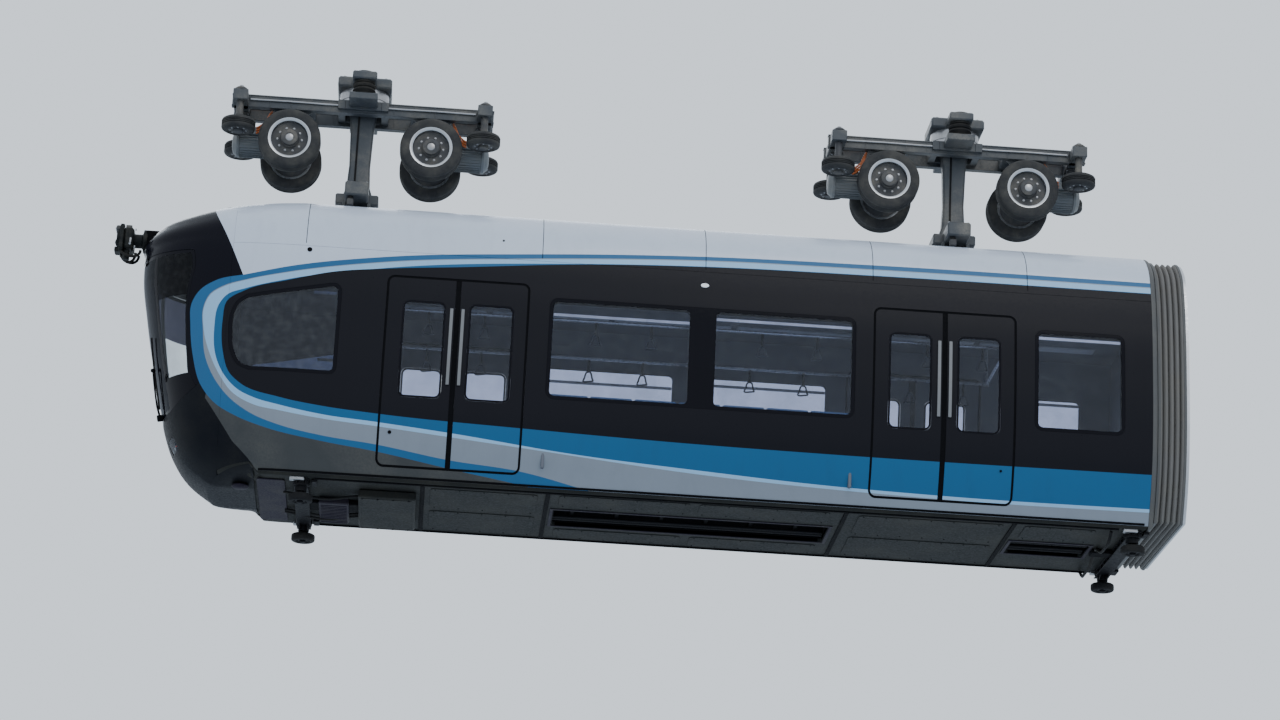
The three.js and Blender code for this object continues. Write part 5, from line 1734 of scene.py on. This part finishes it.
def tyre_profile(radius, inner_radius, half, grooves):
    """Closed (radius, place) outline of a tyre with grooves round its tread."""
    shoulder = 0.032
    outer = [(inner_radius, -half + 0.012), (inner_radius + 0.02, -half + 0.002),
             (radius - 0.06, -half), (radius - 0.028, -half + 0.004), (radius - 0.008, -half + 0.016),
             (radius, -half + shoulder)]
    span = 2 * (half - shoulder)
    for i in range(grooves):
        middle = -half + shoulder + span * (i + 1) / (grooves + 1)
        outer += [(radius, middle - 0.006), (radius - 0.011, middle - 0.0045),
                  (radius - 0.011, middle + 0.0045), (radius, middle + 0.006)]
    return outer + [(r, -t) for r, t in outer[:6][::-1]]


def wheelsets():
    """Axle with a rubber-tyred wheel at each end; the rims are bolted to the hubs."""
    for end in BOGIES:
        for place in ("front", "rear"):
            name = f"{end}_bogie_{place}_wheelset"
            low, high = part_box(name)
            centre = (low + high) / 2
            build = Build()
            build.rod(centre - Vector((0, WHEEL_Y + 0.06, 0)), centre + Vector((0, WHEEL_Y + 0.06, 0)),
                      0.0445, steel, 32)
            for sign in (-1, 1):
                hub = centre + Vector((0, sign * WHEEL_Y, 0))
                way = (0, sign, 0)
                build.turned(tyre_profile(WHEEL_RADIUS, 0.212, 0.098, 5), hub, way, tyre_rubber, 96)
                build.turned([(0.198, -0.080), (0.212, -0.092), (0.226, -0.094), (0.228, -0.088),
                              (0.213, -0.082), (0.213, 0.082), (0.228, 0.088), (0.226, 0.094),
                              (0.212, 0.092), (0.196, 0.080)], hub, way, aluminium, 72)
                build.turned([(0.045, -0.074), (0.196, -0.050), (0.199, -0.046), (0.199, 0.030),
                              (0.190, 0.036), (0.150, 0.028), (0.104, 0.036), (0.096, 0.060), (0.088, 0.066),
                              (0.088, 0.108), (0.080, 0.113), (0.045, 0.113)], hub, way, cast_iron, 56)
                build.turned([(0, 0.070), (0.044, 0.070), (0.044, 0.106), (0.036, 0.111), (0, 0.112)], hub,
                             way, steel, 28)
                build.bolt_ring(10, 0.128, hub + Vector(way) * 0.030, way, 0.012, steel)
            build.made(f"{end}_{place}_running_wheels", "running_tyre", name, [name])


def guide_wheels():
    """The tyred wheels that run along the girder's walls, on upright axles."""
    for end, place, side in product(BOGIES, ("front", "rear"), SIDES):
        name = f"{end}_bogie_{place}_{side}_guide_wheel"
        low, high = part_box(name)
        middle = (low + high) / 2
        centre = (middle.x, middle.y, GUIDE_HEIGHT)
        build = Build()
        build.turned(tyre_profile(0.18, 0.125, 0.068, 3), centre, UP, tyre_rubber, 64)
        build.turned([(0, -0.084), (0.045, -0.084), (0.054, -0.076), (0.056, -0.058), (0.112, -0.054),
                      (0.126, -0.066), (0.126, 0.066), (0.112, 0.058), (0.050, 0.060), (0.040, 0.085),
                      (0.038, 0.2695), (0, 0.2695)], centre, UP, cast_iron, 44)
        build.bolt_ring(8, 0.088, (*centre[:2], centre[2] - 0.055), DOWN, 0.010, steel)
        build.made(f"{end}_{place}_{side}_guide_tyre", "guide_tyre", f"{end}_bogie_{place}_{side}_guide",
                   [name])


def bogie_frames():
    """Welded frame: side beams, end beams, axle horns with bearings, air springs, pipes."""
    for end, x in BOGIES.items():
        build = Build()
        for sign in (-1, 1):
            y = sign * BEAM_Y
            for low in (BEAM_LOW, BEAM_HIGH - 0.014):
                build.block((x, y), (1.40, 0.04), (low, low + 0.014), frame_paint, 0.003)
            build.block((x, y), (1.396, 0.032), (BEAM_LOW + 0.01, BEAM_HIGH - 0.01), frame_paint)
            for i in range(12):
                build.block((x - 1.21 + 0.22 * i, y), (0.005, 0.039), (BEAM_LOW + 0.012, BEAM_HIGH - 0.012),
                            frame_paint, 0.001)
            for direction in (-1, 1):
                axle = x + direction * AXLE_OFFSET
                horn = [(axle - 0.10, 0.40), (axle - 0.085, 0.27), (axle - 0.055, 0.232),
                        (axle + 0.055, 0.232), (axle + 0.085, 0.27), (axle + 0.10, 0.40),
                        (axle + 0.10, 0.735), (axle - 0.10, 0.735)]
                near, far = sorted((sign * 0.145, sign * 0.195))
                build.prism(horn, 1, near, far, frame_paint, 0.006)
                build.turned([(0.0475, -0.030), (0.092, -0.030), (0.098, -0.024), (0.098, 0.024),
                              (0.092, 0.030), (0.0475, 0.030)], (axle, sign * 0.17, AXLE_HEIGHT), LEFT,
                             cast_iron, 36)
                build.bolt_ring(6, 0.075, (axle, sign * 0.1405, AXLE_HEIGHT), (0, -sign, 0), 0.008, steel,
                                0.3)
                for side in (-1, 1):
                    gusset = [(axle + side * 0.10, 0.62), (axle + side * 0.21, 0.722),
                              (axle + side * 0.10, 0.722)]
                    build.prism(gusset if side > 0 else gusset[::-1], 1, near + 0.018, far - 0.018,
                                frame_paint, 0.002)
            build.turned([(0, 0), (0.118, 0), (0.122, 0.010), (0.100, 0.022), (0.108, 0.036), (0.124, 0.052),
                          (0.116, 0.072), (0.100, 0.080), (0.116, 0.088), (0.124, 0.106), (0.112, 0.126),
                          (0.096, 0.132), (0.110, 0.140), (0.110, 0.1545), (0, 0.1545)],
                         (x, sign * SPRING_Y, BEAM_HIGH), UP, rubber, 44)
            build.block((x, sign * 0.38), (0.15, 0.15), (0.786, 0.8597), frame_paint, 0.008)
            build.tube([(x - 1.2 + 0.4 * i, sign * 0.246, 0.80 + 0.004 * (i % 2)) for i in range(7)], 0.011,
                       steel, 8)
        for direction in (-1, 1):
            guide = x + direction * GUIDE_OFFSET
            build.block((guide, 0), (0.08, 0.45), (BEAM_LOW, BEAM_HIGH - 0.02), frame_paint, 0.008)
            for sign in (-1, 1):
                build.turned([(0, 0), (0.07, 0), (0.075, 0.008), (0.070, 0.020), (0.045, 0.040), (0, 0.042)],
                             (guide, sign * GUIDE_Y, BEAM_HIGH - 0.0205), UP, cast_iron, 28)
                build.bolt((guide, sign * GUIDE_Y, BEAM_HIGH + 0.018), UP, 0.026, steel)
            build.block((x + direction * 0.56, 0), (0.05, 0.20), (BEAM_LOW + 0.02, BEAM_HIGH - 0.02),
                        frame_paint, 0.006)
            for sign in (-1, 1):
                path = [(0.02, 0.12, 0.845), (-0.12, 0.11, 0.87), (-0.35, 0.10, 0.862), (-0.60, 0.12, 0.868),
                        (-0.70, 0.15, 0.855)]
                build.tube([(guide + direction * reach, sign * y, z) for reach, y, z in path], 0.012,
                           cable_orange, 8)
        for low, high in (((-0.27, -0.27), (-0.193, 0.27)), ((0.193, -0.27), (0.27, 0.27)),
                          ((-0.193, -0.27), (0.193, -0.119)), ((-0.193, 0.119), (0.193, 0.27))):
            build.box((x + low[0], low[1], BEAM_LOW + 0.04), (x + high[0], high[1], BEAM_HIGH - 0.0003),
                      frame_paint, 0.004)
        build.made(f"{end}_bogie_welded_frame", "bogie_steel", f"{end}_bogie", [f"{end}_bogie_frame"])


def drives():
    """Gearbox round the axle and the finned motor outside it."""
    for end, x in BOGIES.items():
        for place, direction in (("front", 1), ("rear", -1)):
            build = Build()
            axle = x + direction * AXLE_OFFSET
            case = rounded((axle - 0.128, axle + 0.128), (0.205, 0.495), 0.07, 5)
            for low, high in ((-0.108, -0.004), (0.004, 0.108)):
                build.prism(case, 1, low, high, motor_grey, 0.014)
            build.prism(grown(case, 0.012), 1, -0.010, 0.010, motor_grey, 0.003)
            build.bolt_ring(12, (0.13068, 0.142), (axle, -0.010, 0.35), RIGHT, 0.0055, steel)
            start = axle + direction * 0.11
            build.turned([(0, 0), (0.10, 0), (0.13, 0.03), (0.138, 0.05), (0.138, 0.07), (0.148, 0.075),
                          (0.148, 0.10), (0.136, 0.105), (0.136, 0.43), (0.148, 0.435), (0.148, 0.46),
                          (0.13, 0.475), (0.11, 0.50), (0.06, 0.512), (0, 0.514)], (start, 0, MOTOR_HEIGHT),
                         (direction, 0, 0), motor_grey, 56)
            for i in range(28):
                turn = i / 28 * math.tau
                near = Vector((start + direction * 0.11, 0.134 * math.cos(turn),
                               MOTOR_HEIGHT + 0.134 * math.sin(turn)))
                rotation = Matrix.Rotation(turn, 3, "X")
                build.box(near - Vector((0, 0.014, 0.0022)),
                          near + Vector((direction * 0.315, 0.014, 0.0022)), motor_grey, 0.001, rotation,
                          near)
            hanger_x = x + direction * 1.28
            build.block((hanger_x, 0), (0.048, 0.058), (0.50, BEAM_LOW - 0.0005), cast_iron, 0.01)
            build.block((hanger_x, 0), (0.07, 0.075), (BEAM_LOW - 0.02, BEAM_LOW - 0.0005), cast_iron)
            for y, side in product((-0.062, 0.062), (-0.05, 0.05)):
                build.bolt((hanger_x + side, y, BEAM_LOW - 0.02), DOWN, 0.010, steel)
            box = start + direction * 0.26
            build.block((box, 0.12), (0.07, 0.03), (0.44, 0.53), motor_grey, 0.008)
            for i, z in enumerate((0.455, 0.485, 0.515)):
                build.tube([(box, 0.15, z), (box - direction * 0.03, 0.165, z + 0.01),
                            (box - direction * 0.09, 0.17, z + 0.06),
                            (box - direction * 0.13, 0.15, 0.64 + 0.02 * i),
                            (box - direction * 0.15, 0.13, 0.72)], 0.011, cable_orange, 8)
            build.made(f"{end}_{place}_drive_unit", "drive_iron", f"{end}_bogie",
                       [f"{end}_bogie_{place}_drive"])


def hangers():
    """Slewing ring and bolster over the bogie, post through the girder's slot, and crosshead on the roof."""
    for end, x in BOGIES.items():
        build = Build()
        build.turned([(0.205, 0.8605), (0.262, 0.8605), (0.262, 0.905), (0.254, 0.909), (0.254, 0.915),
                      (0.262, 0.919), (0.262, 1.021), (0.205, 1.021)], (x, 0, 0), UP, steel, 72)
        build.block((x, 0), (0.288, 0.268), (1.02, 1.138), frame_paint, 0.02)
        for sign in (-1, 1):
            build.block((x, sign * 0.389), (0.13, 0.139), (1.021, 1.108), frame_paint, 0.015)
            build.turned([(0, 0), (0.11, 0), (0.11, 0.012), (0.03, 0.02), (0, 0.02)],
                         (x, sign * SPRING_Y, 1.1075), UP, cast_iron, 32)
        for side, y in product((-0.22, 0.22), (-0.20, 0.20)):
            build.bolt((x + side, y, 1.1375), UP, 0.022, steel)
        section = [(1.0, 0.158, 0.088), (0.86, 0.155, 0.086), (0.60, 0.125, 0.074), (0.20, 0.112, 0.068),
                   (-0.05, 0.125, 0.075), (-0.145, 0.156, 0.088)]
        rings = []
        for z, half_x, half_y in section[::-1]:
            outline = rounded((x - half_x, x + half_x), (-half_y, half_y), 0.03, 4)
            rings.append([(*place, z) for place in outline])
        build.loft(rings, frame_paint)
        build.block((x, 0), (0.125, 0.518), (-0.298, -0.142), frame_paint, 0.018)
        build.block((x, 0), (0.228, 0.168), (-0.278, -0.162), frame_paint, 0.014)
        roof_z = above(ROOF_TOP)
        for sign in (-1, 1):
            y = sign * 0.21
            build.block((x, y), (0.168, 0.058), (roof_z + 0.0035, roof_z + 0.022), steel)
            for side in (-1, 1):
                build.block((x + side * 0.13, y), (0.02, 0.045), (roof_z + 0.015, -0.29), frame_paint, 0.006)
                for offset in (0.04, -0.04):
                    build.bolt((x + side * 0.085, y + offset, roof_z + 0.022), UP, 0.013, steel)
            build.rod((x - 0.11, y, -0.335), (x + 0.11, y, -0.335), 0.026, steel, 20)
            damper = x + 0.06 * sign
            build.tube([(damper, sign * 0.45, -0.30), (damper, sign * 0.47, roof_z + 0.05)], 0.018, steel, 14)
            build.tube([(damper, sign * 0.45, -0.295), (damper, sign * 0.462, -0.345)], 0.030, rubber, 18)
            build.block((damper, sign * 0.47), (0.035, 0.03), (above(3.118), roof_z + 0.035), cast_iron,
                        0.006)
            heights = [0.99 - 0.14 * i for i in range(9)]
            post_side = np.interp(heights, [row[0] for row in section[::-1]],
                                  [row[2] for row in section[::-1]])
            build.tube([(x + 0.04, sign * (y + 0.004), z) for y, z in zip(post_side, heights)], 0.010,
                       rubber, 8)
        for side, y in product((-0.1, 0.1), (-0.46, -0.32, 0.32, 0.46)):
            build.bolt((x + side, y, -0.142), UP, 0.016, steel)
        build.made(f"{end}_body_hanger", "hanger_steel", replaces=[f"{end}_hanger"])


# Small things on the body

def body_fittings():
    """Side lamps, sockets and locks, and the bar inside each pane."""
    spots = [("side_lamp", 4.73, 2.26, (0.042, 0.022), lamp_lens, (-0.010, 0.002)),
             ("coupling_socket", 8.815, 2.375, (0.026, 0.026), seam_black, (-0.004, 0.006)),
             ("jack_plug", 6.83, 2.635, (0.012, 0.012), grey, (-0.003, 0.004)),
             ("door_lock", 7.87, 0.472, (0.018, 0.018), seam_black, (-0.004, 0.004)),
             ("door_lock_rear", 1.62, 0.472, (0.012, 0.012), seam_black, (-0.004, 0.004))]
    for name, a, h, reach, material, depths in spots:
        spot = Skin(unroll(oval((a, h), reach, 28)), spacing=0.012, depths=depths)
        on_both_sides(spot, name, [material])
    bars = zip([*SALOON_PANES, *REAR_PANES, (8.50, 8.74)], (1.895, 1.832, 1.925, 1.905))
    for number, ((a0, a1), h) in enumerate(bars):
        bar = Skin(side_rectangle((a0 + 0.005, a1 - 0.005), (h - 0.015, h + 0.015)), spacing=0.05,
                   depths=(0.016, 0.030))
        on_both_sides(bar, f"pane_bar_{number}", [aluminium])


# Stage

def studio():
    """Pale floor far below the hanging car, pale surroundings and soft lights."""
    world = bpy.data.worlds.new("studio_world")
    world.use_nodes = True
    bpy.context.scene.world = world
    shader = world.node_tree.nodes["Background"]
    shader.inputs["Color"].default_value = (0.80, 0.88, 0.97, 1)
    shader.inputs["Strength"].default_value = 1.25
    level = above(CAMERA_HEIGHT) - 0.9
    build = Build()
    build.prism(rounded((-260, 260), (-260, 260), 60, 8), 2, level - 0.5, level, floor_paint, 0.05)
    floor = new_object("studio_floor", build.vertices, build.faces, build.materials, build.indices)
    for name, place, aim, size, power in (("key_light", (-8, 24, 22), (0, 0, -1.5), 18, 2600),
                                          ("far_light", (4, -22, 12), (0, 0, -1.5), 18, 1300)):
        data = bpy.data.lights.new(name, "AREA")
        data.shape = "DISK"
        data.size = size
        data.energy = power
        data.color = (1.0, 0.985, 0.96) if name == "key_light" else (0.90, 0.95, 1.0)
        light = bpy.data.objects.new(name, data)
        light.location = place
        light.rotation_euler = (Vector(aim) - Vector(place)).to_track_quat("-Z", "Y").to_euler()
        bpy.context.scene.collection.objects.link(light)


def camera():
    """The photograph's camera, turned the shortest way from the middle of its picture to the car."""
    data = bpy.data.cameras.new("camera")
    data.lens = 100
    data.sensor_width = 36
    data.clip_end = 2000
    piece = bpy.data.objects.new("camera", data)
    piece.location = (along(CAMERA_ALONG), CAMERA_Y, above(CAMERA_HEIGHT))
    heading, pitch = PHOTO_HEADING, PHOTO_PITCH
    forward = Vector((-math.sin(heading) * math.cos(pitch), -math.cos(heading) * math.cos(pitch),
                      math.sin(pitch)))
    right = Vector((-math.cos(heading), math.sin(heading), 0))
    held = Matrix((right, right.cross(forward), -forward)).transposed().to_quaternion()
    turn = forward.rotation_difference(Vector((0.10, 0, -1.75)) - piece.location)
    piece.rotation_euler = (turn @ held).to_euler()
    bpy.context.scene.collection.objects.link(piece)
    bpy.context.scene.camera = piece


side_walls()
side_glass()
door_leaves()
door_trim()
roof()
nose()
windscreen()
headlamps()
chin()
wiper()
roof_dome()
front_coupler()
end_wall()
gangway()
gangway_ring()
drawbar()
underframe()
roller_beams()
rollers()
linings()
ceiling_lights()
grab_rails()
benches()
cab_door()
cab()
wheelsets()
guide_wheels()
bogie_frames()
drives()
hangers()
body_fittings()
studio()
camera()
